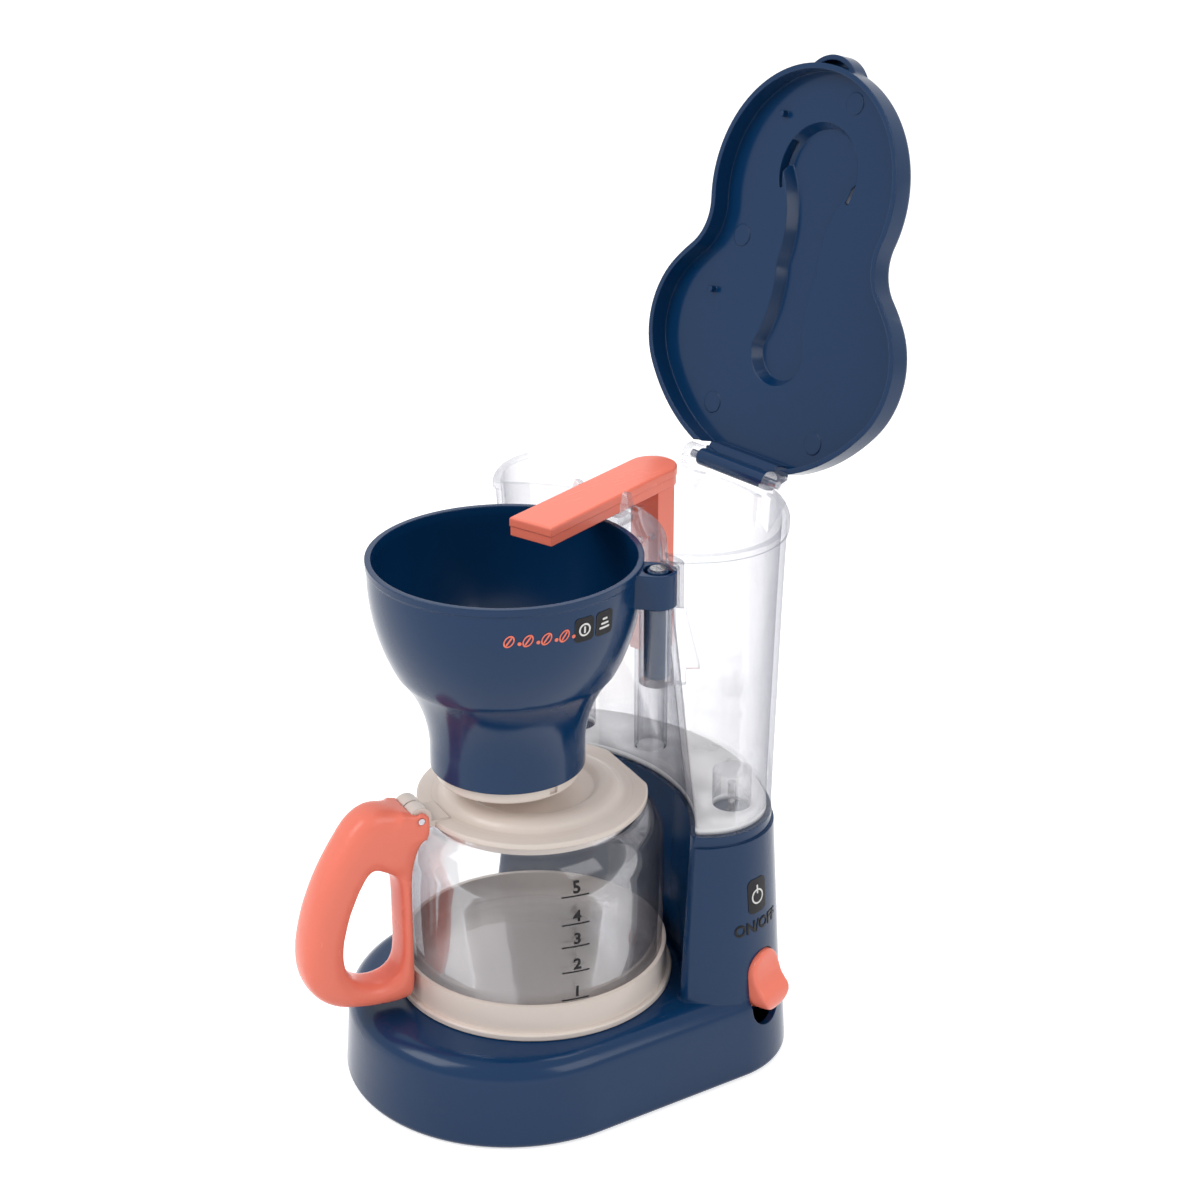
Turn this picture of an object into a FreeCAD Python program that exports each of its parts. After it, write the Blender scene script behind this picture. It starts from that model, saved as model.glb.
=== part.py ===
import FreeCAD, Part
import math
import os
import re
import Sketcher

# Toy coffee maker. The origin is on the floor, under the middle of the round front foot.
# +Z is up, the front looks along -Y, and all sizes are in millimetres and degrees.

SIZES = {
    # foot and deck of the base
    "lobe_r": 61.0, "rear_half": 68.7, "rear_y": 59.0, "rear_depth": 45.0, "side_r": 34.0,
    "deck_z": 33.0, "draft": 3.5, "shoulder_round": 8.0, "sole_round": 2.5,
    # column of the base, behind the carafe
    "column_low": 20.0, "column_inset": 1.2, "neck_z": 92.0, "hull_top": 96.0, "joint_half": 59.0,
    "joint_depth": 36.0, "joint_end": 25.0, "joint_y": 62.0, "collar_step": 0.9, "well_low_r": 62.5, "well_top_r": 64.5, "well_round": 1.5,
    "wing_round": 4.0, "hull_wall": 2.6,
    # underside
    "cover_lift": 0.0, "cover_thick": 2.0, "fit_gap": 0.25, "foot_post_r": 4.2, "post_front_y": -36.0,
    "post_rear_x": 34.0, "post_rear_y": 84.0,
    # screws
    "screw_r": 1.45, "screw_head_r": 2.8, "screw_head": 1.6, "screw_len": 9.0, "swing_screw_len": 18.0, "screw_cross": 0.7,
    # water tank
    "rim_z": 205.0, "rim_half": 61.0, "rim_depth": 46.0, "rim_end": 32.0, "rim_y": 60.5, "rim_well_r": 53.0,
    "tank_wall": 2.0, "tank_floor": 2.5, "bead": 0.8, "bead_high": 2.4, "boss_r": 7.0, "boss_high": 15.0,
    "boss_x": 43.0, "boss_y": 68.0, "rib_w": 12.0, "rib_proud": 1.6, "mark_step": 14.0, "mark_proud": 0.35,
    # lid hinge on the tank
    "hinge_y": 107.0, "hinge_z": 204.5, "bracket_x": 21.0, "bracket_w": 6.4, "bracket_r": 4.0,
    "bracket_drop": 16.0, "peg_out": 3.0, "lid_pin_r": 1.5, "pin_gap": 0.05, "notch_drop": 5.0,
    # water arm
    "arm_tip_x": 5.4, "arm_tip_y": 7.0, "arm_turn": 13.0, "arm_len": 80.0, "arm_w": 18.0, "arm_t": 6.8,
    "arm_z": 204.2, "arm_bow": 2.0, "column_w": 12.0, "column_d": 10.0, "column_foot": 139.0,
    "column_back": 8.5, "spout_hole_r": 2.2, "riser_r": 5.0, "riser_wall": 1.2, "tab_w": 6.0,
    "tab_t": 2.2, "tab_up": 6.0, "tab_low": 3.6, "tab_gap": 0.4, "tab_u": 41.0,
    # funnel
    "funnel_rim_z": 199.5, "funnel_rim_r": 47.5, "funnel_mid_z": 159.0, "funnel_mid_r": 38.6,
    "funnel_neck_z": 131.0, "funnel_neck_r": 27.3, "funnel_low_z": 122.0, "funnel_wall": 2.0,
    "bowl_arc": 74.0, "waist_arc": 47.0, "funnel_lip": 0.9, "cap_r": 25.4, "cap_low_z": 117.0,
    "cap_wall": 1.8, "outlet_r": 3.0, "valve_r": 2.4,
    # funnel pivot
    "pivot_x": 42.4, "pivot_y": 32.0, "swing_pin_r": 4.7, "socket_wall": 1.5, "socket_low_z": 157.5,
    "socket_high_z": 186.0, "knuckle_z": 186.4, "knuckle_top_z": 198.6, "knuckle_w": 13.0, "swing_gap": 0.8,
    # lid
    "lid_z": 205.4, "lid_depth": 7.0, "lid_wall": 2.0, "lid_big_half": 61.6, "lid_big_depth": 46.4,
    "lid_small_r": 44.5, "lid_small_y": 4.0, "lid_waist_r": 18.0, "lid_round": 2.4, "open_angle": 106.0,
    "crown": 4.0, "bulb_r": 19.0, "bulb_y": -2.0, "tail_r": 13.5, "tail_y": 62.0, "waist_half": 10.5,
    "waist_y": 32.0, "slot_w": 1.5, "slot_arc": 58.0, "tab_half": 14.0, "tab_reach": 3.6, "tab_lip": 3.4,
    # carafe
    "carafe_y": 10.8, "carafe_turn": -13.0, "cup_flange_r": 50.4, "cup_flange": 2.6, "cup_r": 48.3,
    "cup_top": 13.0, "cup_wall": 1.5, "cup_floor": 2.4, "glass_r": 46.7, "glass_belly_r": 47.7,
    "glass_neck_r": 40.6, "glass_shoulder": 52.0, "glass_neck": 67.5, "glass_top": 71.0, "glass_wall": 1.8,
    "belly_arc": 420.0, "neck_arc": 17.0, "lip_r": 8.5, "lip_out": 37.0, "lip_lean": 28.0,
    # carafe lid
    "lid_rest": 0.3, "flange_r": 41.2, "flange_t": 2.0, "dome_r": 31.0, "dome_high": 5.0, "dish_r": 24.0,
    "dish_deep": 1.4, "plug_r": 37.6, "plug_deep": 4.0, "barrel_r": 4.5, "barrel_half": 6.6,
    "barrel_split": 0.35, "barrel_out": 46.4, "barrel_up": 4.4, "rod_r": 1.2, "ear_r": 3.0, "lift_angle": 3.5,
    # carafe handle, measured out from the carafe axis and up from the deck
    "grip_half": 8.4, "grip_round": 2.6, "strap_in": 48.7, "strap_out": 54.0, "loop_reach": 76.5,
    "loop_top": 62.0,
    # slider switch
    "slot_in": 4.1, "slot_back": 7.0, "slot_z": 33.0, "slot_half": 8.3, "slot_high": 30.0, "switch_yaw": 12.0,
    "switch_tilt": 5.8, "button_high": 23.0, "button_gap": 0.3, "slide_gap": 0.2, "button_proud": 6.0, "button_dish": 1.6,
    "button_round": 1.3, "travel": 6.4, "bay_deep": 11.0, "bay_half": 11.0, "bay_face": 4.9, "slider_t": 2.0,
}

WORD = re.compile(r"[a-z_][a-z_0-9]*")
UP = FreeCAD.Vector(0, 0, 1)
OVER = 1.0

doc = FreeCAD.newDocument("toy_coffee_maker")
sheet = doc.addObject("Spreadsheet::Sheet", "Sizes")
for row, (alias, size) in enumerate(SIZES.items(), start=1):
    sheet.set(f"A{row}", alias)
    sheet.set(f"B{row}", str(size))
    sheet.setAlias(f"B{row}", alias)
doc.recompute()


def bound(formula):
    """A formula in the sheet's words, as an expression of the document."""
    return WORD.sub(lambda word: f"Sizes.{word.group()}" if word.group() in SIZES else word.group(), formula)


def number(formula):
    """What a formula in the sheet's words comes to now."""
    worth = sheet.evalExpression(bound(formula))
    return float(worth.Value) if hasattr(worth, "Value") else float(worth)


def bind(item, **formulas):
    """Ties properties of an object to formulas; an underscore pair stands for a dot."""
    for name, formula in formulas.items():
        item.setExpression(name.replace("__", "."), bound(formula))
    return item


def put(item, x="0", y="0", z="0", axis=UP, angle=0.0):
    """Turns an object about an axis and ties its place to formulas."""
    item.Placement = FreeCAD.Placement(FreeCAD.Vector(0, 0, 0), FreeCAD.Rotation(axis, angle))
    bind(item, Placement__Base__x=x, Placement__Base__y=y, Placement__Base__z=z)
    return item


def arc_between(start, end, radius, side):
    """The short arc between two points; side is 1 where it turns left and -1 where it turns right."""
    chord = end - start
    half = chord.Length / 2
    rise = math.sqrt(max(radius * radius - half * half, 0.0))
    normal = FreeCAD.Vector(-chord.y, chord.x, 0).normalize()
    centre = (start + end) * 0.5 + normal * (rise * side)
    first, last = (start, end) if side > 0 else (end, start)
    a0 = math.atan2(first.y - centre.y, first.x - centre.x)
    a1 = math.atan2(last.y - centre.y, last.x - centre.x)
    if a1 < a0:
        a1 += 2 * math.pi
    return Part.ArcOfCircle(Part.Circle(centre, UP, radius), a0, a1)


def fix(sketch, geo, pos, x, y):
    """Ties one point of a sketch to two formulas."""
    for kind, formula, axis in (("DistanceX", x, -2), ("DistanceY", y, -1)):
        if formula == "0":
            sketch.addConstraint(Sketcher.Constraint("PointOnObject", geo, pos, axis))
            continue
        index = sketch.addConstraint(Sketcher.Constraint(kind, geo, pos, number(formula)))
        sketch.setExpression(f"Constraints[{index}]", bound(formula))


def draw(sketch, corners):
    """Closed outline: each corner is x, y and, where an arc follows it, the arc's radius and side."""
    points = [FreeCAD.Vector(number(corner[0]), number(corner[1]), 0) for corner in corners]
    ends = []
    for index, corner in enumerate(corners):
        start, end = points[index], points[(index + 1) % len(points)]
        if len(corner) == 2:
            geo = sketch.addGeometry(Part.LineSegment(start, end))
            ends.append((geo, 1, 2))
            continue
        geo = sketch.addGeometry(arc_between(start, end, number(corner[2]), corner[3]))
        ends.append((geo, 1, 2) if corner[3] > 0 else (geo, 2, 1))
        index = sketch.addConstraint(Sketcher.Constraint("Radius", geo, number(corner[2])))
        sketch.setExpression(f"Constraints[{index}]", bound(corner[2]))
    for index, corner in enumerate(corners):
        geo, first, last = ends[index]
        after = ends[(index + 1) % len(ends)]
        sketch.addConstraint(Sketcher.Constraint("Coincident", geo, last, after[0], after[1]))
        fix(sketch, geo, first, corner[0], corner[1])


def ring(sketch, x, y, radius):
    """A full circle in a sketch."""
    centre = FreeCAD.Vector(number(x), number(y), 0)
    geo = sketch.addGeometry(Part.Circle(centre, UP, number(radius)))
    index = sketch.addConstraint(Sketcher.Constraint("Radius", geo, number(radius)))
    sketch.setExpression(f"Constraints[{index}]", bound(radius))
    fix(sketch, geo, 3, x, y)


def new_body(name):
    return doc.addObject("PartDesign::Body", name)


def new_sketch(body, name, plane="XY_Plane", lift=None):
    """A sketch on one of the body's own planes, raised by a formula."""
    sketch = body.newObject("Sketcher::SketchObject", name)
    base = [face for face in body.Origin.OriginFeatures if face.Role == plane][0]
    sketch.AttachmentSupport = [(base, "")]
    sketch.MapMode = "FlatFace"
    if lift:
        sketch.setExpression("AttachmentOffset.Base.z", bound(lift))
    return sketch


def pad(body, name, sketch, length, both=False, taper=None, reverse=False):
    feature = body.newObject("PartDesign::Pad", name)
    feature.Profile = sketch
    feature.Midplane = both
    feature.Reversed = reverse
    bind(feature, Length=length)
    if taper:
        bind(feature, TaperAngle=taper)
    return feature


def pocket(body, name, sketch, length, both=False, reverse=False):
    """A cut, which has to take material away."""
    doc.recompute()
    before = body.Shape.Volume
    feature = body.newObject("PartDesign::Pocket", name)
    feature.Profile = sketch
    feature.Midplane = both
    feature.Reversed = reverse
    bind(feature, Length=length)
    doc.recompute()
    if body.Shape.Volume > before - 0.01:
        raise RuntimeError(f"{name} cuts nothing")
    return feature


def turned(body, name, sketch):
    """A full turn of a sketch about its own upright axis."""
    feature = body.newObject("PartDesign::Revolution", name)
    feature.Profile = sketch
    feature.ReferenceAxis = (sketch, ["V_Axis"])
    feature.Angle = 360
    return feature


def soften(body, name, base, radius, test):
    """Rounds the edges of a feature that pass a test."""
    doc.recompute()
    names = [f"Edge{i}" for i, edge in enumerate(base.Shape.Edges, start=1) if test(edge)]
    feature = body.newObject("PartDesign::Fillet", name)
    feature.Base = (base, names)
    bind(feature, Radius=radius)
    doc.recompute()
    return feature


def rounded(name, base, radius, test):
    """A rounded copy of an object, on the edges that pass a test."""
    doc.recompute()
    item = doc.addObject("Part::Fillet", name)
    item.Base = base
    size = number(radius)
    item.Edges = [(i, size, size) for i, edge in enumerate(base.Shape.Edges, start=1) if test(edge)]
    doc.recompute()
    return item


def flat_at(edge, z, tolerance=0.05):
    box = edge.BoundBox
    return abs(box.ZMin - z) < tolerance and abs(box.ZMax - z) < tolerance


def cylinder(name, radius, height, x="0", y="0", z="0", axis=UP, angle=0.0):
    item = doc.addObject("Part::Cylinder", name)
    bind(item, Radius=radius, Height=height)
    return put(item, x, y, z, axis, angle)


def cone(name, low, high, height, z):
    item = doc.addObject("Part::Cone", name)
    bind(item, Radius1=low, Radius2=high, Height=height)
    return put(item, z=z)


def block(name, length, width, height, x, y, z):
    item = doc.addObject("Part::Box", name)
    bind(item, Length=length, Width=width, Height=height)
    return put(item, x, y, z)


def oval(name, half, depth, end, y, z, inset="0"):
    """An oval of four arcs that run into each other: two ends, a front and a back."""
    item = doc.addObject("Sketcher::SketchObject", name)
    a, b, r = f"({half} - {inset})", f"({depth} - {inset})", f"({end} - {inset})"
    long_r = f"((({a} - {r}) ^ 2 + {b} ^ 2 - {r} ^ 2) / (2 * ({b} - {r})))"
    share = f"({long_r} / ({long_r} - {r}))"
    x = f"({a} - {r}) * {share}"
    rise = f"({long_r} - {b}) * (1 - {share})"
    draw(item, [
        (f"-({x})", rise, long_r, 1),
        (x, rise, r, 1),
        (x, f"-({rise})", long_r, 1),
        (f"-({x})", f"-({rise})", r, 1),
    ])
    return put(item, y=y, z=z)


def loft(name, sections):
    item = doc.addObject("Part::Loft", name)
    item.Sections = sections
    item.Solid = True
    item.Ruled = True
    return item


def fuse(name, *items):
    item = doc.addObject("Part::MultiFuse", name)
    item.Shapes = list(items)
    return item


def cut(name, base, *tools):
    """The base less one tool after another."""
    tool = tools[0] if len(tools) == 1 else fuse(f"{name}_tools", *tools)
    item = doc.addObject("Part::Cut", name)
    item.Base = base
    item.Tool = tool
    return item


def common(name, first, second):
    item = doc.addObject("Part::MultiCommon", name)
    item.Shapes = [first, second]
    return item


NODES = {}


def keep(name, item):
    """Names a finished sub-part."""
    item.Label = name
    NODES[name] = item
    return item


# Slab of the base: round lobe in front, straight sides that spread, broad back


def slab_corners(inset):
    lobe, side, half = f"(lobe_r - {inset})", f"(side_r - {inset})", "(rear_half - side_r)"
    reach = f"sqrt({half} ^ 2 + rear_y ^ 2)"
    turn = f"(atan2(rear_y; {half}) - acos(({lobe} - {side}) / {reach}))"
    lobe_x, lobe_y = f"{lobe} * cos({turn})", f"{lobe} * sin({turn})"
    side_x, side_y = f"{half} + {side} * cos({turn})", f"rear_y + {side} * sin({turn})"
    depth = f"(rear_depth - {inset})"
    back_r = f"(({half} ^ 2 + {depth} ^ 2 - {side} ^ 2) / (2 * ({depth} - {side})))"
    back_y = f"(rear_y + {depth} - {back_r})"
    share = f"({back_r} / ({back_r} - {side}))"
    rear_x, rear_y = f"{half} * {share}", f"{back_y} + (rear_y - {back_y}) * {share}"
    return [
        (f"-{lobe_x}", lobe_y, lobe, 1),
        (lobe_x, lobe_y),
        (side_x, side_y, side, 1),
        (rear_x, rear_y, back_r, 1),
        (f"-({rear_x})", rear_y, side, 1),
        (f"-({side_x})", side_y),
    ]


def make_slab():
    body = new_body("slab")
    sketch = new_sketch(body, "slab_plan")
    draw(sketch, slab_corners("0"))
    base = pad(body, "slab_pad", sketch, "deck_z", taper="-draft")
    top = number("deck_z")
    shoulder = soften(body, "slab_shoulder", base, "shoulder_round", lambda edge: flat_at(edge, top))
    soften(body, "slab_sole", shoulder, "sole_round", lambda edge: flat_at(edge, 0.0))
    return body


def make_column():
    fall = "column_low * tan(draft)"
    foot = oval("column_foot_oval", "rear_half", "rear_depth", "side_r", "rear_y", "column_low",
                f"({fall} + column_inset)")
    neck = oval("column_neck_oval", "joint_half", "joint_depth", "joint_end", "joint_y", "neck_z",
                "(-collar_step)")
    collar_low = oval("collar_low_oval", "joint_half", "joint_depth", "joint_end", "joint_y",
                      "neck_z - collar_step")
    collar_top = oval("collar_top_oval", "joint_half", "joint_depth", "joint_end", "joint_y", "hull_top")
    return loft("column_loft", [foot, neck]), loft("collar_loft", [collar_low, collar_top])


def make_well():
    """The round hollow that the carafe stands in, open towards the front."""
    body = new_body("well")
    sketch = new_sketch(body, "well_profile", "XZ_Plane")
    draw(sketch, [
        ("0", "deck_z"),
        ("well_low_r - well_round", "deck_z", "well_round", 1),
        ("well_low_r", "deck_z + well_round"),
        ("well_top_r", "hull_top"),
        ("well_top_r", "hull_top + 1"),
        ("0", "hull_top + 1"),
    ])
    turned(body, "well_turn", sketch)
    return body


def make_cavity():
    body = new_body("cavity")
    sketch = new_sketch(body, "cavity_plan")
    draw(sketch, slab_corners("hull_wall"))
    pad(body, "cavity_pad", sketch, "deck_z - hull_wall", taper="-draft")
    return body


POSTS = (("front", "0", "post_front_y"), ("right", "post_rear_x", "post_rear_y"),
         ("left", "-post_rear_x", "post_rear_y"))


def make_posts():
    high = "deck_z - hull_wall - cover_lift - cover_thick + 1"
    low = "cover_lift + cover_thick"
    posts = [cylinder(f"post_{n}", "foot_post_r", high, x, y, low) for n, x, y in POSTS]
    bores = [cylinder(f"bore_{n}", "screw_r - 0.15", "screw_len", x, y, low) for n, x, y in POSTS]
    return posts, bores


def switch_frame(item, out="0", along="0", up="0"):
    """Puts an object in the switch's own frame: x out of the wall, z up along the wall."""
    yaw, tilt = math.radians(number("switch_yaw")), math.radians(number("switch_tilt"))
    turn = FreeCAD.Rotation(UP, math.degrees(yaw)).multiply(
        FreeCAD.Rotation(FreeCAD.Vector(0, 1, 0), -math.degrees(tilt)))
    item.Placement = FreeCAD.Placement(FreeCAD.Vector(0, 0, 0), turn)
    flat = f"({out}) * cos(switch_tilt) - ({up}) * sin(switch_tilt)"
    x = f"rear_half - slot_in + ({flat}) * cos(switch_yaw) - ({along}) * sin(switch_yaw)"
    y = f"rear_y + slot_back + ({flat}) * sin(switch_yaw) + ({along}) * cos(switch_yaw)"
    z = f"slot_z + ({out}) * sin(switch_tilt) + ({up}) * cos(switch_tilt)"
    bind(item, Placement__Base__x=x, Placement__Base__y=y, Placement__Base__z=z)
    return item


def stadium(half, high):
    """Upright slot outline: two half rounds, each as two quarter arcs, with straight sides."""
    rise = f"({high} / 2 - {half})"
    return [
        (half, f"-{rise}"),
        (half, rise, half, 1),
        ("0", f"{high} / 2", half, 1),
        (f"-({half})", rise),
        (f"-({half})", f"-{rise}", half, 1),
        ("0", f"-{high} / 2", half, 1),
    ]


def make_slot():
    body = new_body("slot")
    sketch = new_sketch(body, "slot_plan", "YZ_Plane", "-bay_deep + 2")
    draw(sketch, stadium("slot_half", "slot_high"))
    pad(body, "slot_pad", sketch, "bay_deep")
    return switch_frame(body)


def make_bay():
    bay = doc.addObject("Part::Box", "bay")
    bind(bay, Length="bay_deep", Width="2 * bay_half", Height="slot_high / 2 + 19")
    return switch_frame(bay, "-bay_deep - bay_face", "-bay_half", "-12")


def make_hull():
    slab = make_slab()
    column, collar = make_column()
    fronted = cut("hull_fronted", fuse("hull_outside", slab, column, collar), make_well())
    outside = rounded("hull_wings", fronted, "wing_round", is_wing_edge("deck_z", "neck_z"))
    posts, bores = make_posts()
    hollow = cut("hull_roomed", cut("hull_bayed", cut("hull_cavity", outside, make_cavity()), make_bay()),
                 make_slot())
    posted = fuse("hull_posted", hollow, *posts)
    for side, x in (("right", "boss_x"), ("left", "-boss_x")):
        bores.append(cylinder(f"driver_way_{side}", "screw_head_r + 0.5", "hull_top - deck_z", x, "boss_y",
                              "deck_z - 4"))
        bores.append(cylinder(f"shank_way_{side}", "screw_r + 0.2", "9", x, "boss_y", "hull_top - 6"))
    keep("base_hull", cut("hull", posted, *bores))


def is_wing_edge(low, high):
    """Upright edges where the round hollow ends in the wings."""
    span = (number(high) - number(low)) * 0.7

    def test(edge):
        box = edge.BoundBox
        middle = edge.valueAt((edge.FirstParameter + edge.LastParameter) / 2)
        return box.ZLength > span and middle.y < number("joint_y") and abs(middle.x) > number("lobe_r") / 2
    return test


def make_cover():
    body = new_body("cover_body")
    sketch = new_sketch(body, "cover_plan", lift="cover_lift")
    draw(sketch, slab_corners("(hull_wall + fit_gap)"))
    pad(body, "cover_pad", sketch, "cover_thick", taper="-draft")
    holes = new_sketch(body, "cover_holes", lift="cover_lift")
    for _, x, y in POSTS:
        ring(holes, x, y, "screw_r + 0.2")
    pocket(body, "cover_bores", holes, "cover_thick + 1", reverse=True)
    sinks = new_sketch(body, "cover_sinks", lift="cover_lift")
    for _, x, y in POSTS:
        ring(sinks, x, y, "screw_head_r + 0.2")
    pocket(body, "cover_counterbores", sinks, "screw_head / 2", reverse=True)
    keep("base_cover", body)


def screw_profile(name, length):
    """A pan-head screw that points up, with its head at the bottom."""
    body = new_body(name)
    sketch = new_sketch(body, f"{name}_profile", "XZ_Plane")
    draw(sketch, [
        ("0", "0"),
        ("screw_head_r", "0"),
        ("screw_head_r", "screw_head / 2"),
        ("screw_r - 0.15", "screw_head / 2"),
        ("screw_r - 0.15", f"{length} - 1"),
        ("0", length),
    ])
    turned(body, f"{name}_turn", sketch)
    cross = new_sketch(body, f"{name}_cross")
    draw(cross, [("-screw_head_r / 2", "-0.35"), ("screw_head_r / 2", "-0.35"),
                 ("screw_head_r / 2", "0.35"), ("-screw_head_r / 2", "0.35")])
    pocket(body, f"{name}_slot", cross, "screw_cross / 2", reverse=True)
    return body


def copies(name, body, places):
    """One group of the same solid at several places, each x, y, z, axis and angle."""
    doc.recompute()
    solids = []
    for x, y, z, axis, angle in places:
        solid = body.Shape.copy()
        solid.Placement = FreeCAD.Placement(FreeCAD.Vector(number(x), number(y), number(z)),
                                            FreeCAD.Rotation(axis, angle))
        solids.append(solid)
    item = doc.addObject("Part::Feature", f"{name}_group")
    item.Shape = Part.makeCompound(solids) if len(solids) > 1 else solids[0]
    return keep(name, item)


# Water tank: oval outside, round hollow in front, and the fittings moulded on it


def front_r(z):
    """Radius of the round hollow in front of the tank, at a height."""
    return f"(well_top_r + (rim_well_r - well_top_r) * ({z} - hull_top) / (rim_z - hull_top))"


def winged(name, solid, front, low, high, radius):
    """A solid less the round hollow in front of it, with the edges of its two wings rounded."""
    return rounded(f"{name}_winged", cut(f"{name}_fronted", solid, front), radius, is_wing_edge(low, high))


def tank_shape(name, inset, well_inset, low, high_over):
    foot = oval(f"{name}_foot", "joint_half", "joint_depth", "joint_end", "joint_y", low, f"({inset})")
    top = oval(f"{name}_top", "rim_half", "rim_depth", "rim_end", "rim_y", f"rim_z + {high_over}", f"({inset})")
    below, above = "(hull_top - 1)", "(rim_z + 3)"
    front = cone(f"{name}_front", f"{front_r(below)} + {well_inset}", f"{front_r(above)} + {well_inset}",
                 f"{above} - {below}", below)
    return loft(f"{name}_loft", [foot, top]), front


def arm_frame(item, u="0", v="0", z="0", axis=UP, angle=0.0):
    """Puts an object in the arm's own frame: u runs back from the tip, v runs to the right."""
    turn = FreeCAD.Rotation(UP, number("arm_turn")).multiply(FreeCAD.Rotation(axis, angle))
    item.Placement = FreeCAD.Placement(FreeCAD.Vector(0, 0, 0), turn)
    bind(item, Placement__Base__x=f"arm_tip_x - ({u}) * sin(arm_turn) + ({v}) * cos(arm_turn)",
         Placement__Base__y=f"arm_tip_y + ({u}) * cos(arm_turn) + ({v}) * sin(arm_turn)",
         Placement__Base__z=z)
    return item


def make_tab(name, side):
    """A fin with a rounded top that holds the arm from one side."""
    body = new_body(name)
    sketch = new_sketch(body, f"{name}_plan", "YZ_Plane")
    draw(sketch, [
        ("-tab_w / 2 - 1", "-tab_low"),
        ("tab_w / 2 + 1", "-tab_low"),
        ("tab_w / 4", "tab_up", "tab_w / 4", 1),
        ("0", "tab_up + tab_w / 4", "tab_w / 4", 1),
        ("-tab_w / 4", "tab_up"),
    ])
    pad(body, f"{name}_pad", sketch, "tab_t", both=True)
    return arm_frame(body, "tab_u", f"{side} * (arm_w / 2 + tab_gap + tab_t / 2)", "arm_z")


def make_socket():
    """The open-topped cup that the funnel's pin turns in."""
    outer = "(swing_pin_r + pin_gap + socket_wall)"
    high = "socket_high_z - socket_low_z"
    cup = cylinder("socket_cup", outer, high, "pivot_x", "pivot_y", "socket_low_z")
    bore = cylinder("socket_bore", "swing_pin_r + pin_gap", f"{high} + 1", "pivot_x", "pivot_y",
                    "socket_low_z + socket_wall")
    web = block("socket_web", "2 * socket_wall", "10", high, "-socket_wall", "0", "0")
    lean = math.degrees(math.atan2(-number("pivot_x"), number("pivot_y")))
    put(web, f"pivot_x - socket_wall * cos({lean})", f"pivot_y - socket_wall * sin({lean})", "socket_low_z",
        UP, lean)
    fin = new_body("socket_fin")
    sketch = new_sketch(fin, "socket_fin_plan", "XZ_Plane")
    draw(sketch, [("0", "socket_low_z + 4"), ("pivot_x / 3", "socket_low_z + 7"),
                  ("pivot_x / 5", "socket_high_z"), ("0", "socket_high_z")])
    pad(fin, "socket_fin_pad", sketch, "socket_wall", both=True)
    put(fin, "pivot_x", "pivot_y + 2", "0", UP, 24.0)
    return [cup, web, fin], bore


def make_bracket(side):
    """One upright of the lid hinge, with a round top and a blind bore for the lid's pin."""
    name = "right" if side > 0 else "left"
    body = new_body(f"bracket_{name}")
    sketch = new_sketch(body, f"bracket_{name}_side", "YZ_Plane")
    draw(sketch, [
        ("hinge_y - bracket_r", "hinge_z", "bracket_r", -1),
        ("hinge_y", "hinge_z + bracket_r", "bracket_r", -1),
        ("hinge_y + bracket_r", "hinge_z"),
        ("hinge_y + bracket_r", "hinge_z - bracket_drop / 3"),
        ("hinge_y - 5.5", "hinge_z - bracket_drop"),
        ("hinge_y - 7.5", "hinge_z - bracket_drop + 1"),
        ("hinge_y - 7.5", "hinge_z - 3"),
        ("hinge_y - bracket_r", "hinge_z - 3"),
    ])
    pad(body, f"bracket_{name}_pad", sketch, "bracket_w", both=True)
    put(body, x=f"{side} * bracket_x")
    bore = cylinder(f"bracket_{name}_bore", "lid_pin_r + pin_gap", "bracket_w - 1.6",
                    f"{side} * (bracket_x - bracket_w / 2)", "hinge_y", "hinge_z",
                    FreeCAD.Vector(0, 1, 0), 90.0 * side)
    return body, bore


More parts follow.
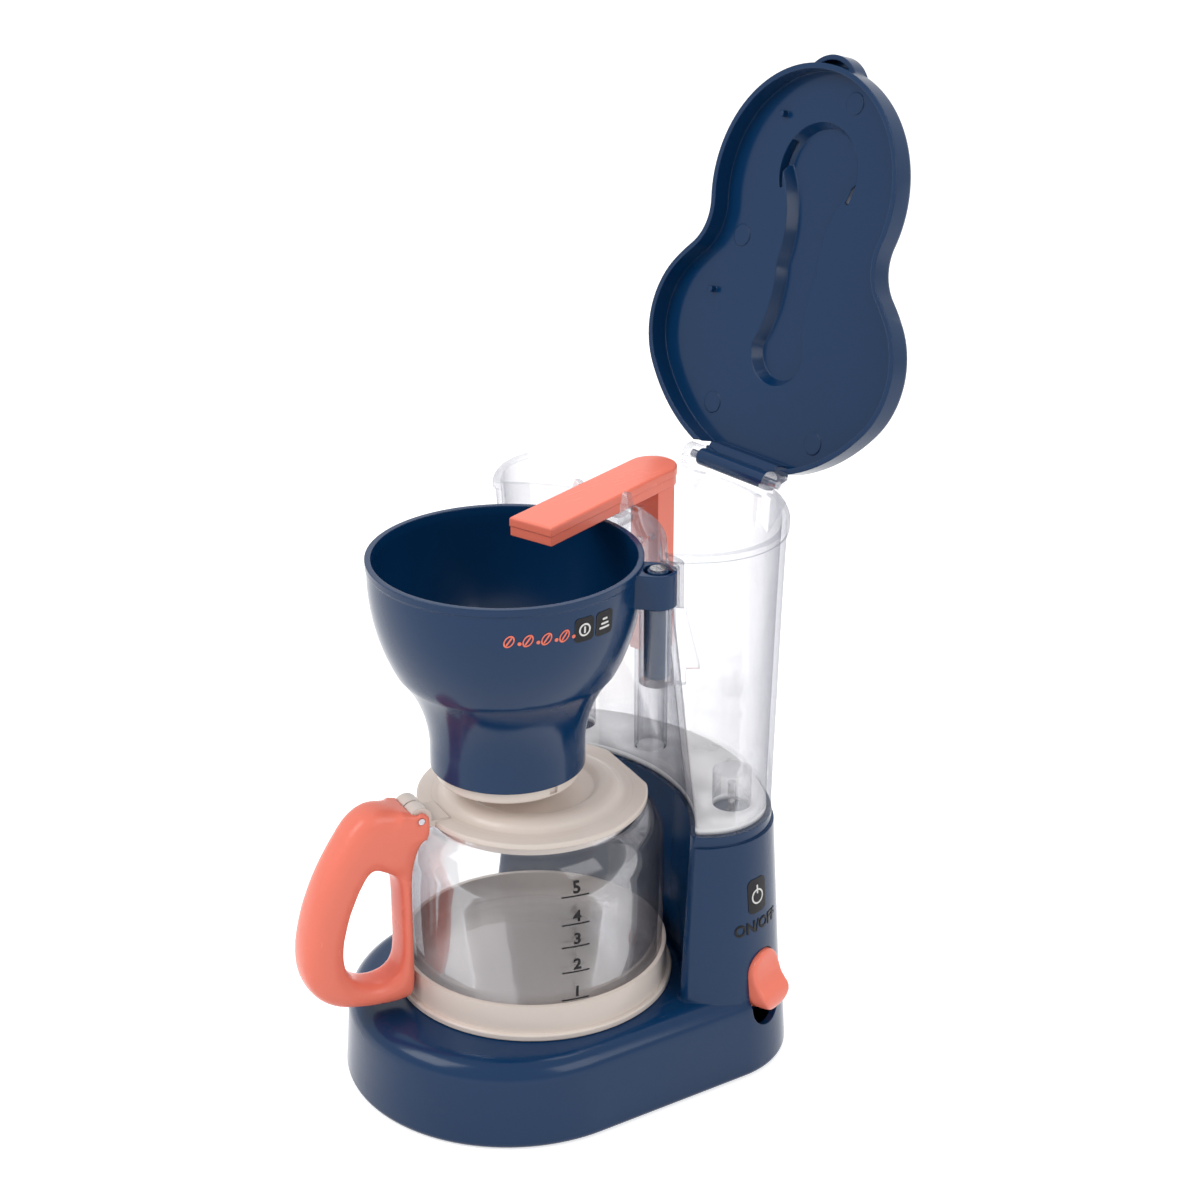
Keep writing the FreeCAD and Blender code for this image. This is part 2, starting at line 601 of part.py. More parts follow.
def make_tank():
    outer, front = tank_shape("tank_outer", "0", "0", "hull_top", "0")
    bead_low, bead_top = (oval(f"bead_{level}", "rim_half", "rim_depth", "rim_end", "rim_y", z, "(-bead)")
                          for level, z in (("low", "rim_z - bead_high"), ("top", "rim_z")))
    inner, front_back = tank_shape("tank_inner", "tank_wall", "tank_wall", "hull_top + tank_floor", "1")
    body = winged("tank_body", outer, front, "hull_top", "rim_z", "wing_round")
    rim = winged("tank_rim", loft("bead_loft", [bead_low, bead_top]), front, "rim_z - bead_high", "rim_z",
                 "wing_round")
    room = winged("tank_room", inner, front_back, "hull_top + tank_floor", "rim_z", "wing_round - tank_wall")
    shell = cut("tank_shell", fuse("tank_outside", body, rim), room)
    brackets = [make_bracket(side) for side in (-1, 1)]
    socket, socket_bore = make_socket()
    house_out = cylinder("house_outside", "knuckle_w / 2 + swing_gap + socket_wall",
                         "knuckle_top_z - socket_high_z + swing_gap + 2 * socket_wall", "pivot_x", "pivot_y",
                         "socket_high_z - socket_wall")
    house = common("house_inside", house_out, body)
    knuckle_way = cylinder("knuckle_room", "knuckle_w / 2 + swing_gap",
                           "knuckle_top_z - socket_high_z + swing_gap", "pivot_x", "pivot_y", "socket_high_z")
    boss = cylinder("tank_boss", "boss_r", "boss_high", "boss_x", "boss_y", "hull_top + 1")
    boss_left = cylinder("tank_boss_left", "boss_r", "boss_high", "-boss_x", "boss_y", "hull_top + 1")
    riser = arm_frame(cylinder("tank_riser", "riser_r + riser_wall", "column_foot - hull_top - 1"),
                      "arm_len - column_back", "0", "hull_top + 1")
    shelf = doc.addObject("Part::Box", "arm_shelf")
    bind(shelf, Length="arm_w + 2 * tab_gap + 2 * tab_t", Width="2 * tab_w", Height="1.6")
    arm_frame(shelf, "tab_u - tab_w / 2", "-arm_w / 2 - tab_gap - tab_t", "arm_z - 1.7")
    peg = cylinder("tank_peg", "1", "7", "12", "rim_well_r - peg_out", "rim_z - 10", FreeCAD.Vector(1, 0, 0), -90.0)
    ball = doc.addObject("Part::Sphere", "tank_peg_ball")
    bind(ball, Radius="1.7")
    put(ball, "12", "rim_well_r - peg_out", "rim_z - 10")
    added = [house, boss, boss_left, riser, shelf, peg, ball, make_tab("tab_right", "1"), make_tab("tab_left", "-1")]
    added += socket + [body for body, _ in brackets]
    whole = fuse("tank_whole", shell, *added)
    notch = block("tank_notch", "2 * bracket_x - bracket_w", "2 * bracket_r + 4", "notch_drop + 1",
                  "-bracket_x + bracket_w / 2", "hinge_y - bracket_r - 4", "rim_z - notch_drop")
    way = arm_frame(cylinder("riser_way", "riser_r", "column_foot + 2 - hull_top - tank_floor"),
                    "arm_len - column_back", "0", "hull_top + tank_floor")
    saddle = doc.addObject("Part::Box", "arm_saddle")
    bind(saddle, Length="arm_w + 2 * tab_gap", Width="4 * tab_w", Height="tab_up")
    arm_frame(saddle, "tab_u - tab_w", "-arm_w / 2 - tab_gap", "arm_z")
    screw_ways = [cylinder(f"boss_way_{n}", "screw_r", "boss_high - 3", x, "boss_y", "hull_top - 1")
                  for n, x in (("right", "boss_x"), ("left", "-boss_x"))]
    ways = [notch, way, socket_bore, saddle, knuckle_way, *screw_ways, *[bore for _, bore in brackets]]
    keep("water_tank", cut("tank", whole, *ways))


# Water arm: two coral halves on an upright that plugs into the riser


def arm_corners(inset):
    """Arm seen from above in its own frame: flat tip in front, half-round back."""
    half = f"(arm_w / 2 - {inset})"
    return [
        (f"-{half}", inset if inset != "0" else "0"),
        (half, inset if inset != "0" else "0"),
        (half, "arm_len - arm_w / 2", half, 1),
        ("0", f"arm_len - {inset}", half, 1),
        (f"-{half}", "arm_len - arm_w / 2"),
    ]


def make_arm():
    top = new_body("arm_top_body")
    sketch = new_sketch(top, "arm_top_plan")
    draw(sketch, arm_corners("0"))
    lid = pad(top, "arm_top_pad", sketch, "arm_t / 2")
    upper = number("arm_t / 2")
    soften(top, "arm_top_soft", lid, "0.9", lambda edge: flat_at(edge, upper))
    arm_frame(top, z="arm_z + arm_t / 2")
    keep("faucet_arm_top", top)
    low = new_body("arm_low_body")
    sketch = new_sketch(low, "arm_low_plan")
    draw(sketch, arm_corners("0.25"))
    pad(low, "arm_low_pad", sketch, "arm_t / 2")
    hole = new_sketch(low, "arm_low_hole")
    ring(hole, "0", "spout_hole_r * 3", "spout_hole_r")
    pocket(low, "arm_low_spout", hole, "arm_t / 2 - 1", reverse=True)
    arm_frame(low, z="arm_z")
    keep("faucet_arm_bottom", low)


def make_arm_column():
    stem = doc.addObject("Part::Box", "stem")
    bind(stem, Length="column_w", Width="column_d", Height="arm_z - column_foot")
    arm_frame(stem, "arm_len - column_back - column_d / 2", "-column_w / 2", "column_foot")
    plug = arm_frame(cylinder("stem_plug", "riser_r - 0.15", "20"), "arm_len - column_back", "0",
                     "column_foot - 12")
    way = arm_frame(cylinder("stem_way", "riser_r - 2", "arm_z - column_foot"), "arm_len - column_back", "0",
                    "column_foot - 13")
    column = fuse("stem_whole", stem, plug)
    keep("faucet_column", cut("stem_bored", column, way))


# Funnel, its drip cap and the pin that it swings on


def make_funnel():
    body = new_body("bowl")
    sketch = new_sketch(body, "bowl_profile", "XZ_Plane")
    w = "funnel_wall"
    draw(sketch, [
        ("funnel_neck_r", "funnel_low_z"),
        ("funnel_neck_r", "funnel_neck_z", "waist_arc", -1),
        ("funnel_mid_r", "funnel_mid_z", "bowl_arc", 1),
        ("funnel_rim_r - 0.5", "funnel_rim_z - 3"),
        ("funnel_rim_r", "funnel_rim_z - 2.4"),
        ("funnel_rim_r", "funnel_rim_z"),
        (f"funnel_rim_r - {w}", "funnel_rim_z"),
        (f"funnel_rim_r - {w} - 0.5", "funnel_rim_z - 3", f"bowl_arc - {w}", -1),
        (f"funnel_mid_r - {w}", f"funnel_mid_z + {w} / 2", f"waist_arc + {w}", 1),
        (f"funnel_neck_r - {w}", f"funnel_neck_z + {w} / 2"),
        (f"funnel_neck_r - {w}", f"funnel_low_z + {w}"),
        (f"funnel_neck_r - {w}", "funnel_low_z"),
    ])
    turned(body, "bowl_turn", sketch)
    lean = math.degrees(math.atan2(-number("pivot_x"), number("pivot_y")))
    reach = "sqrt(pivot_x ^ 2 + pivot_y ^ 2)"
    knuckle = new_body("knuckle")
    sketch = new_sketch(knuckle, "knuckle_plan", lift="knuckle_z")
    draw(sketch, [
        ("knuckle_w / 2", "funnel_rim_r - 4"),
        ("knuckle_w / 2", reach, "knuckle_w / 2", 1),
        ("0", f"{reach} + knuckle_w / 2", "knuckle_w / 2", 1),
        ("-knuckle_w / 2", reach),
        ("-knuckle_w / 2", "funnel_rim_r - 4"),
    ])
    pad(knuckle, "knuckle_pad", sketch, "knuckle_top_z - knuckle_z")
    put(knuckle, axis=UP, angle=lean)
    inside = cone("bowl_inside", f"funnel_rim_r - {w} - 1.6", f"funnel_rim_r - {w}",
                  "funnel_rim_z - knuckle_z + 2", "knuckle_z - 1")
    hollow = cylinder("knuckle_hollow", "knuckle_w / 2 - 1.4", "6", "pivot_x", "pivot_y", "knuckle_top_z - 5")
    ring_boss = cylinder("knuckle_boss", "3.6", "5.2", "pivot_x", "pivot_y", "knuckle_top_z - 5.2")
    screw_way = cylinder("knuckle_way", "screw_r + 0.15", "20", "pivot_x", "pivot_y", "knuckle_z - 1")
    box = cut("knuckle_box", knuckle, inside, hollow)
    bossed = fuse("knuckle_bossed", box, ring_boss, body)
    keep("funnel_shell", cut("funnel", bossed, screw_way))


def make_funnel_fittings():
    pin = new_body("swing_pin_body")
    sketch = new_sketch(pin, "swing_pin_profile", "XZ_Plane")
    draw(sketch, [
        ("screw_r", "socket_low_z + socket_wall + 0.3"),
        ("swing_pin_r - 1", "socket_low_z + socket_wall + 0.3"),
        ("swing_pin_r", "socket_low_z + socket_wall + 1.3"),
        ("swing_pin_r", "knuckle_z"),
        ("screw_r", "knuckle_z"),
    ])
    turned(pin, "swing_pin_turn", sketch)
    put(pin, "pivot_x", "pivot_y")
    keep("funnel_pin", pin)
    cap = new_body("cap_body")
    sketch = new_sketch(cap, "cap_profile", "XZ_Plane")
    draw(sketch, [
        ("outlet_r", "cap_low_z"),
        ("cap_r - 1.5", "cap_low_z", "1.5", 1),
        ("cap_r", "cap_low_z + 1.5"),
        ("cap_r", "funnel_low_z"),
        ("funnel_neck_r - funnel_wall - 0.2", "funnel_low_z"),
        ("funnel_neck_r - funnel_wall - 0.2", "funnel_low_z + 3"),
        ("funnel_neck_r - funnel_wall - cap_wall", "funnel_low_z + 3"),
        ("funnel_neck_r - funnel_wall - cap_wall", "cap_low_z + cap_wall"),
        ("outlet_r", "cap_low_z + cap_wall"),
    ])
    turned(cap, "cap_turn", sketch)
    notch = new_sketch(cap, "cap_notch_plan", lift="cap_low_z + 1.4")
    draw(notch, [("cap_r - 1", "-1.6"), ("cap_r + 2", "-1.6"), ("cap_r + 2", "1.6"), ("cap_r - 1", "1.6")])
    pocket(cap, "cap_notch", notch, "2.2", reverse=True)
    keep("funnel_drip_cap", cap)
    valve = new_body("valve_body")
    sketch = new_sketch(valve, "valve_profile", "XZ_Plane")
    draw(sketch, [
        ("0", "cap_low_z - 0.4"),
        ("valve_r - 0.6", "cap_low_z - 0.4"),
        ("valve_r", "cap_low_z + 0.4"),
        ("valve_r", "cap_low_z + cap_wall"),
        ("outlet_r + 2.5", "cap_low_z + cap_wall"),
        ("outlet_r + 2.5", "cap_low_z + cap_wall + 1.2"),
        ("1.4", "cap_low_z + cap_wall + 1.8"),
        ("1.4", "cap_low_z + cap_wall + 7"),
        ("0", "cap_low_z + cap_wall + 7"),
    ])
    turned(valve, "valve_turn", sketch)
    keep("drip_valve", valve)


# Lid: figure-eight tray, modelled shut and then stood open about the hinge


def lid_solid(name, inset, low, high):
    """The figure eight as one upright solid: an oval, a round and the fillets at the waist."""
    big = [oval(f"{name}_oval_{level}", "lid_big_half", "lid_big_depth", "rim_end", "rim_y", z, f"({inset})")
           for level, z in (("low", low), ("high", high))]
    small = cylinder(f"{name}_round", f"lid_small_r - {inset}", f"{high} - ({low})", "0", "lid_small_y", low)
    return fuse(f"{name}_eight", loft(f"{name}_big", big), small)


def waist_edge(edge):
    middle = edge.valueAt((edge.FirstParameter + edge.LastParameter) / 2)
    return edge.BoundBox.ZLength > 1 and abs(middle.x) > 20 and edge.BoundBox.XLength < 0.5


def lid_tray(name, inset, low, high, waist):
    solid = lid_solid(name, inset, low, high)
    return rounded(f"{name}_waisted", solid, waist, waist_edge)


def crown_corners(grow):
    """Keyhole on the lid's crown: a bulb in front, a narrow waist and a round tail behind."""
    bulb, tail, waist = f"(bulb_r + {grow})", f"(tail_r + {grow})", f"(waist_half + {grow})"
    return [
        (bulb, "bulb_y", "bulb_r * 2.2", -1),
        (waist, "waist_y", "tail_r * 3.4", -1),
        (tail, "tail_y", tail, 1),
        ("0", f"tail_y + {tail}", tail, 1),
        (f"-{tail}", "tail_y", "tail_r * 3.4", -1),
        (f"-{waist}", "waist_y", "bulb_r * 2.2", -1),
        (f"-{bulb}", "bulb_y", bulb, 1),
        ("0", f"bulb_y - {bulb}", bulb, 1),
    ]


def crown_body(name, grow, low, length):
    body = new_body(name)
    sketch = new_sketch(body, f"{name}_plan", lift=low)
    draw(sketch, crown_corners(grow))
    pad(body, f"{name}_pad", sketch, length, taper="-30")
    return body


def make_lid():
    top = "lid_z + lid_depth + lid_wall"
    outer = lid_tray("lid_outer", "0", "lid_z", top, "lid_waist_r")
    high = number(top)
    outer_soft = rounded("lid_outer_soft", outer, "lid_round", lambda edge: flat_at(edge, high))
    inner = lid_tray("lid_inner", "lid_wall", "lid_z - 1", "lid_z + lid_depth", "lid_waist_r + lid_wall")
    crown_out = crown_body("lid_crown_out", "lid_wall", f"{top} - 0.5", "crown + 0.5")
    crown_in = crown_body("lid_crown_in", "0", "lid_z + lid_depth - 0.5", "crown + 0.5")
    lip = cylinder("lid_lip_out", "tab_half", "lid_depth - 1", "0", "lid_small_y - lid_small_r + tab_half - tab_reach",
                   "lid_z + 3")
    lip_in = cylinder("lid_lip_in", "tab_half - 1.8", "lid_depth", "0",
                      "lid_small_y - lid_small_r + tab_half - tab_reach", "lid_z + 1")
    lip_shell = cut("lid_lip", lip, lip_in, cylinder("lid_lip_clear", "lid_small_r - lid_wall / 2", "lid_depth + 9",
                                                     "0", "lid_small_y", "lid_z"))
    bar = new_body("lid_bar")
    sketch = new_sketch(bar, "lid_bar_side", "YZ_Plane")
    draw(sketch, [
        ("hinge_y - 3.2", "hinge_z", "3.2", 1),
        ("hinge_y", "hinge_z - 3.2", "3.2", 1),
        ("hinge_y + 3.2", "hinge_z"),
        ("hinge_y + 3.2", "hinge_z + 3"),
        ("hinge_y - 1", f"{top} - 0.2"),
        ("hinge_y - 6", f"{top} - 0.2"),
        ("hinge_y - 6", "lid_z + 2"),
        ("hinge_y - 3.2", "lid_z + 1"),
    ])
    pad(bar, "lid_bar_pad", sketch, "2 * bracket_x - bracket_w - 0.8", both=True)
    pins = cylinder("lid_pins", "lid_pin_r", "2 * bracket_x + bracket_w - 4", "-(bracket_x + bracket_w / 2 - 2)",
                    "hinge_y", "hinge_z", FreeCAD.Vector(0, 1, 0), 90.0)
    clear = [block(f"lid_clear_{n}", "bracket_w + 0.8", "30", "lid_depth + 9",
                   f"{side} * bracket_x - bracket_w / 2 - 0.4", "hinge_y - bracket_r - 1.2", "lid_z - 2")
             for n, side in (("left", "-1"), ("right", "1"))]
    stubs = [cylinder(f"lid_stub_{n}", "1.2", "3", x, y, "lid_z + lid_depth - 2.5")
             for n, x, y in (("front", "-22", "-20"), ("back", "-38", "48"))]
    rims = [cylinder(f"lid_mark_{n}", "4", "0.6", x, y, "lid_z + lid_depth - 0.3")
            for n, x, y in (("a", "-30", "26"), ("b", "-26", "88"), ("c", "27", "90"), ("d", "10", "-29"))]
    tray = cut("lid_tray", outer_soft, inner, *clear)
    whole = fuse("lid_whole", tray, crown_out, lip_shell, bar, pins, *stubs, *rims)
    vents = [make_vent(side) for side in (-1, 1)]
    shut = cut("lid_shut", whole, crown_in, *vents)
    doc.recompute()
    item = doc.addObject("Part::Feature", "lid_open")
    shape = shut.Shape.copy()
    shape.rotate(FreeCAD.Vector(0, number("hinge_y"), number("hinge_z")), FreeCAD.Vector(1, 0, 0),
                 -number("open_angle"))
    item.Shape = shape
    keep("lid_shell", item)


def make_vent(side):
    """A curved slot through the side of the lid's crown, beside the bulb."""
    body = new_body("vent_left" if side < 0 else "vent_right")
    sketch = new_sketch(body, f"{body.Name}_plan", lift="lid_z + lid_depth - 0.2")
    outer, inner = "(bulb_r - 0.2)", "(bulb_r - 0.2 - slot_w)"
    low, high = "(-slot_arc / 2 + 4)", "(slot_arc / 2 + 4)"
    turn = "" if side > 0 else "-"

    def spot(radius, angle):
        return f"{turn}{radius} * cos{angle}", f"bulb_y - {radius} * sin{angle}"
    draw(sketch, [
        (*spot(outer, low), outer, -side),
        (*spot(outer, high),),
        (*spot(inner, high), inner, side),
        (*spot(inner, low),),
    ])
    pad(body, f"{body.Name}_pad", sketch, "crown + lid_wall + 2")
    return body


# Carafe: beige cup, clear jug, coral handle in two halves, and its beige lid


def carafe_frame(item, z="deck_z", y="0", x="0", axis=UP, angle=0.0):
    """Puts an object in the carafe's own frame, where the handle points along -Y."""
    turn = FreeCAD.Rotation(UP, number("carafe_turn")).multiply(FreeCAD.Rotation(axis, angle))
    item.Placement = FreeCAD.Placement(FreeCAD.Vector(0, 0, 0), turn)
    bind(item, Placement__Base__x=f"({x}) * cos(carafe_turn) - ({y}) * sin(carafe_turn)",
         Placement__Base__y=f"carafe_y + ({x}) * sin(carafe_turn) + ({y}) * cos(carafe_turn)",
         Placement__Base__z=z)
    return item


def make_cup():
    body = new_body("cup_body")
    sketch = new_sketch(body, "cup_profile", "XZ_Plane")
    draw(sketch, [
        ("0", "0.6"),
        ("cup_flange_r - 5", "0.6"),
        ("cup_flange_r - 4.4", "0"),
        ("cup_flange_r - 0.5", "0"),
        ("cup_flange_r", "0.5"),
        ("cup_flange_r", "cup_flange - 0.5"),
        ("cup_flange_r - 0.5", "cup_flange"),
        ("cup_r + 0.3", "cup_flange"),
        ("cup_r", "cup_top"),
        ("cup_r - cup_wall", "cup_top"),
        ("cup_r - cup_wall", "cup_floor"),
        ("0", "cup_floor"),
    ])
    turned(body, "cup_turn", sketch)
    carafe_frame(body)
    keep("carafe_cup", body)


def jug_profile(name, inset, floor, top):
    body = new_body(name)
    sketch = new_sketch(body, f"{name}_profile", "XZ_Plane")
    draw(sketch, [
        ("0", floor),
        (f"glass_r - {inset}", floor),
        (f"glass_r - {inset}", "cup_top", "belly_arc", 1),
        (f"glass_r - {inset} + 0.4", "glass_shoulder", f"neck_arc - {inset}", 1),
        (f"glass_neck_r - {inset}", "glass_neck"),
        (f"glass_neck_r - {inset}", top),
        ("0", top),
    ])
    turned(body, f"{name}_turn", sketch)
    return carafe_frame(body)


def lip_cone(name, inset, high):
    item = doc.addObject("Part::Cone", name)
    bind(item, Radius1=f"lip_r / 3 - {inset} / 2", Radius2=f"lip_r - {inset}", Height="lip_r * 1.6")
    return carafe_frame(item, f"deck_z + {high} - lip_r * 1.5", "lip_out - lip_r", "0",
                        FreeCAD.Vector(1, 0, 0), -number("lip_lean"))


def make_glass():
    floor = "(cup_floor + 0.1)"
    outer = jug_profile("jug_outer", "0", floor, "glass_top")
    inner = jug_profile("jug_inner", "glass_wall", f"({floor} + glass_wall)", "glass_top + 1")
    top = doc.addObject("Part::Cylinder", "jug_slice")
    bind(top, Radius="cup_flange_r + 9", Height="30")
    carafe_frame(top, "deck_z + glass_top")
    lip_out = cut("lip_outer", lip_cone("lip_outer_cone", "0", "glass_top"), top)
    lip_in = lip_cone("lip_inner_cone", "glass_wall", "glass_top + 1")
    whole = fuse("jug_whole", outer, lip_out)
    keep("carafe_glass", cut("jug", whole, fuse("jug_room", inner, lip_in)))


def handle_corners():
    """Outer outline of the handle: out from the carafe axis, and up from the deck."""
    return [
        ("-strap_in", "cup_flange + 0.9"),
        ("-strap_in", "glass_shoulder", "30", -1),
        ("-(barrel_out - 2)", "glass_neck - 1.5"),
        ("-(barrel_out - ear_r)", "glass_top"),
        ("-(barrel_out - ear_r)", "glass_top + barrel_up", "ear_r", 1),
        ("-barrel_out", "glass_top + barrel_up + ear_r", "40", -1),
        ("-60", "83", "17", 1),
        ("-74", "73.5", "90", 1),
        ("-89", "44", "60", 1),
        ("-91.6", "26", "21", 1),
        ("-78", "6.6", "90", 1),
    ]


def hole_corners():
    return [
        ("-strap_out", "19"),
        ("-(strap_out + 0.3)", "56", "5.5", -1),
        ("-62.5", "loop_top", "70", 1),
        ("-74.5", "37", "45", 1),
        ("-(loop_reach - 0.7)", "24", "12", 1),
        ("-66", "13.5", "30", 1),
        ("-58", "13.8", "7", 1),
    ]


def make_handle():
    barrel = carafe_frame(cylinder("grip_barrel_way", "barrel_r + 0.5", "2 * barrel_half + 0.6"),
                          "deck_z + glass_top + barrel_up", "-barrel_out", "-barrel_half - 0.3",
                          FreeCAD.Vector(0, 1, 0), 90.0)
    name = "handle_right"
    body = new_body(f"{name}_body")
    sketch = new_sketch(body, f"{name}_plan", "YZ_Plane")
    draw(sketch, handle_corners())
    draw(sketch, hole_corners())
    grip = pad(body, f"{name}_pad", sketch, "grip_half")
    face = number("grip_half")
    soften(body, f"{name}_soft", grip, "grip_round",
           lambda edge: on_face(edge, face) and not in_loop(edge) and not on_ear(edge))
    carafe_frame(body)
    rod = carafe_frame(cylinder("ear_rod_way", "rod_r", "3 * grip_half"), "deck_z + glass_top + barrel_up",
                       "-barrel_out", "-1.5 * grip_half", FreeCAD.Vector(0, 1, 0), 90.0)
    half = keep(name, cut("handle_drilled", body, barrel, rod))
    other = doc.addObject("Part::Mirroring", "handle_mirrored")
    other.Source = half
    turn = math.radians(number("carafe_turn"))
    other.Normal = FreeCAD.Vector(math.cos(turn), math.sin(turn), 0)
    bind(other, Base__y="carafe_y")
    keep("handle_left", other)


def on_face(edge, x):
    box = edge.BoundBox
    return abs(box.XMin - x) < 0.05 and abs(box.XMax - x) < 0.05


def in_loop(edge):
    """Edges of the hole that the fingers go through."""
    middle = edge.valueAt((edge.FirstParameter + edge.LastParameter) / 2)
    reach = -middle.y
    return number("strap_out") - 1 < reach < number("loop_reach") and 6 < middle.z < number("loop_top") + 4


def on_ear(edge):
    """Edges of the ear that carries the lid's rod."""
    middle = edge.valueAt((edge.FirstParameter + edge.LastParameter) / 2)
    return -middle.y < number("barrel_out - ear_r / 2") and middle.z > number("glass_neck") - OVER


def make_carafe_lid():
    body = new_body("carafe_lid_body")
    sketch = new_sketch(body, "carafe_lid_profile", "XZ_Plane")
    low = "glass_top + lid_rest"
    draw(sketch, [
        ("0", f"{low} + dome_high - dish_deep - 1.8"),
        ("plug_r - 1.6", f"{low} + dome_high - dish_deep - 1.8"),
        ("plug_r - 1.6", f"{low} - plug_deep"),
        ("plug_r", f"{low} - plug_deep"),
        ("plug_r", low),
        ("flange_r", low),
        ("flange_r", f"{low} + flange_t - 0.6", "0.6", 1),
        ("flange_r - 0.6", f"{low} + flange_t"),
        ("dome_r + 3", f"{low} + flange_t", "3.2", -1),
        ("dome_r", f"{low} + flange_t + 1.6", "9", 1),
        ("dish_r", f"{low} + dome_high"),
        ("dish_r - 2", f"{low} + dome_high - dish_deep"),
        ("0", f"{low} + dome_high - dish_deep"),
    ])
    turned(body, "carafe_lid_turn", sketch)
    carafe_frame(body)
    gap = doc.addObject("Part::Box", "lip_gap")
    bind(gap, Length="2 * flange_r", Width="12", Height="12")
    carafe_frame(gap, "deck_z + glass_top - 8", "plug_r + 0.6", "-flange_r")
    barrels = []
    for name, start in (("left", "-barrel_half"), ("right", "barrel_split")):
        barrels.append(carafe_frame(
            cylinder(f"barrel_{name}", "barrel_r", "barrel_half - barrel_split"),
            "deck_z + glass_top + barrel_up", "-barrel_out", start, FreeCAD.Vector(0, 1, 0), 90.0))
    bridge = doc.addObject("Part::Box", "barrel_bridge")
    bind(bridge, Length="2 * barrel_half", Width="barrel_out - flange_r + 6", Height="2.4")
    carafe_frame(bridge, "deck_z + glass_top + lid_rest + 0.4", "-barrel_out", "-barrel_half")
    way = carafe_frame(cylinder("barrel_way", "rod_r + pin_gap", "3 * grip_half"),
                       "deck_z + glass_top + barrel_up", "-barrel_out", "-1.5 * grip_half",
                       FreeCAD.Vector(0, 1, 0), 90.0)
    whole = fuse("carafe_lid_whole", cut("carafe_lid_cut", body, gap), bridge, *barrels)
    keep("carafe_lid", cut("carafe_lid_bored", whole, way))
    rod = carafe_frame(cylinder("lid_rod", "rod_r", "2 * grip_half - 0.4"),
                       "deck_z + glass_top + barrel_up", "-barrel_out", "-grip_half + 0.2",
                       FreeCAD.Vector(0, 1, 0), 90.0)
    keep("carafe_lid_pin", rod)


# Slider switch


def make_button():
    body = new_body("button_body")
    sketch = new_sketch(body, "button_plan", "YZ_Plane", "-bay_face - slide_gap")
    half, high = "(slot_half - button_gap)", "button_high"
    draw(sketch, stadium(half, high))
    pad(body, "button_pad", sketch, "button_proud + bay_face + slide_gap + 1")
    shape = new_sketch(body, "button_side", "XZ_Plane")
    draw(shape, [
        ("button_dish + 0.6", "button_high / 2 + 1"),
        ("button_dish", "button_high / 4", "button_high / 1.6", 1),
        ("button_proud * 0.72", "-button_high / 10", "button_high / 3.2", -1),
        ("button_proud", "-button_high / 4", "button_high / 3.2", -1),
        ("button_dish + 1.6", "-button_high / 2 - 0.6"),
        ("button_proud + 4", "-button_high / 2 - 0.6"),
        ("button_proud + 4", "button_high / 2 + 1"),
    ])
    pocket(body, "button_saddle", shape, "3 * slot_half", both=True)
    switch_frame(body, "0", "0", "(slot_high - button_high) / 2 - button_gap")
    keep("switch_button", body)


def make_slider():
    carrier = doc.addObject("Part::Box", "carrier")
    bind(carrier, Length="slider_t", Width="2 * slot_half + 5", Height="button_high + 4")
    switch_frame(carrier, "-bay_face - slide_gap - slider_t", "-slot_half - 2.5",
                 "-button_high / 2 + (slot_high - button_high) / 2 - button_gap - 1")
    keep("switch_slider", carrier)
    plate = doc.addObject("Part::Box", "retainer")
    bind(plate, Length="slider_t", Width="2 * bay_half", Height="slot_high + 6")
    switch_frame(plate, "-bay_face - 4 * slider_t", "-bay_half", "-slot_high / 2 - 1")
    keep("switch_retainer", plate)
    leaf = new_body("leaf_body")
    sketch = new_sketch(leaf, "leaf_side", "XZ_Plane")
    back = "(-bay_face - 3 * slider_t)"
    draw(sketch, [
        (back, "-12"),
        (f"{back} + 0.5", "-12"),
        (f"{back} + 0.5", "-8", "22", 1),
        (f"{back} + 0.5", "8"),
        (f"{back} + 0.5", "12"),
        (back, "12"),
    ])
    pad(leaf, "leaf_pad", sketch, "6", both=True)
    switch_frame(leaf)
    keep("detent_spring", leaf)


def make_fasteners():
    screw = screw_profile("screw_pattern", "screw_len")
    long_screw = screw_profile("long_screw_pattern", "swing_screw_len")
    copies("cover_screws", screw, [(x, y, "cover_lift", UP, 0) for _, x, y in POSTS])
    copies("funnel_screw", long_screw, [("pivot_x", "pivot_y", "knuckle_top_z + screw_head / 2",
                                    FreeCAD.Vector(1, 0, 0), 180)])
    copies("tank_screws", screw, [(x, "boss_y", "hull_top - 4 - screw_head / 2", UP, 0) for x in ("boss_x", "-boss_x")])


make_hull()
make_cover()
make_tank()
make_arm()
make_arm_column()
make_funnel()
make_funnel_fittings()
make_lid()
make_cup()
make_glass()
make_handle()
make_carafe_lid()
make_button()
make_slider()
make_fasteners()

doc.recompute()
for item in doc.Objects:
    if "Invalid" in item.State or "Error" in item.State:
        raise RuntimeError(f"{item.Name} did not recompute: {item.State}")

os.makedirs("parts", exist_ok=True)
for name, item in NODES.items():
    shape = item.Shape
    if shape.isNull() or not shape.isValid():
        raise RuntimeError(f"{name} has no sound shape")
    print(f"{name}: {len(shape.Solids)} solid, {shape.Volume:.0f} mm3, {shape.BoundBox}")
    shape.exportStep(f"parts/{name}.step")
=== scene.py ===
import math

import bmesh
import bpy
from bpy.props import FloatProperty, FloatVectorProperty, IntProperty, PointerProperty, StringProperty
from mathutils import Matrix, Vector
from mathutils.bvhtree import BVHTree


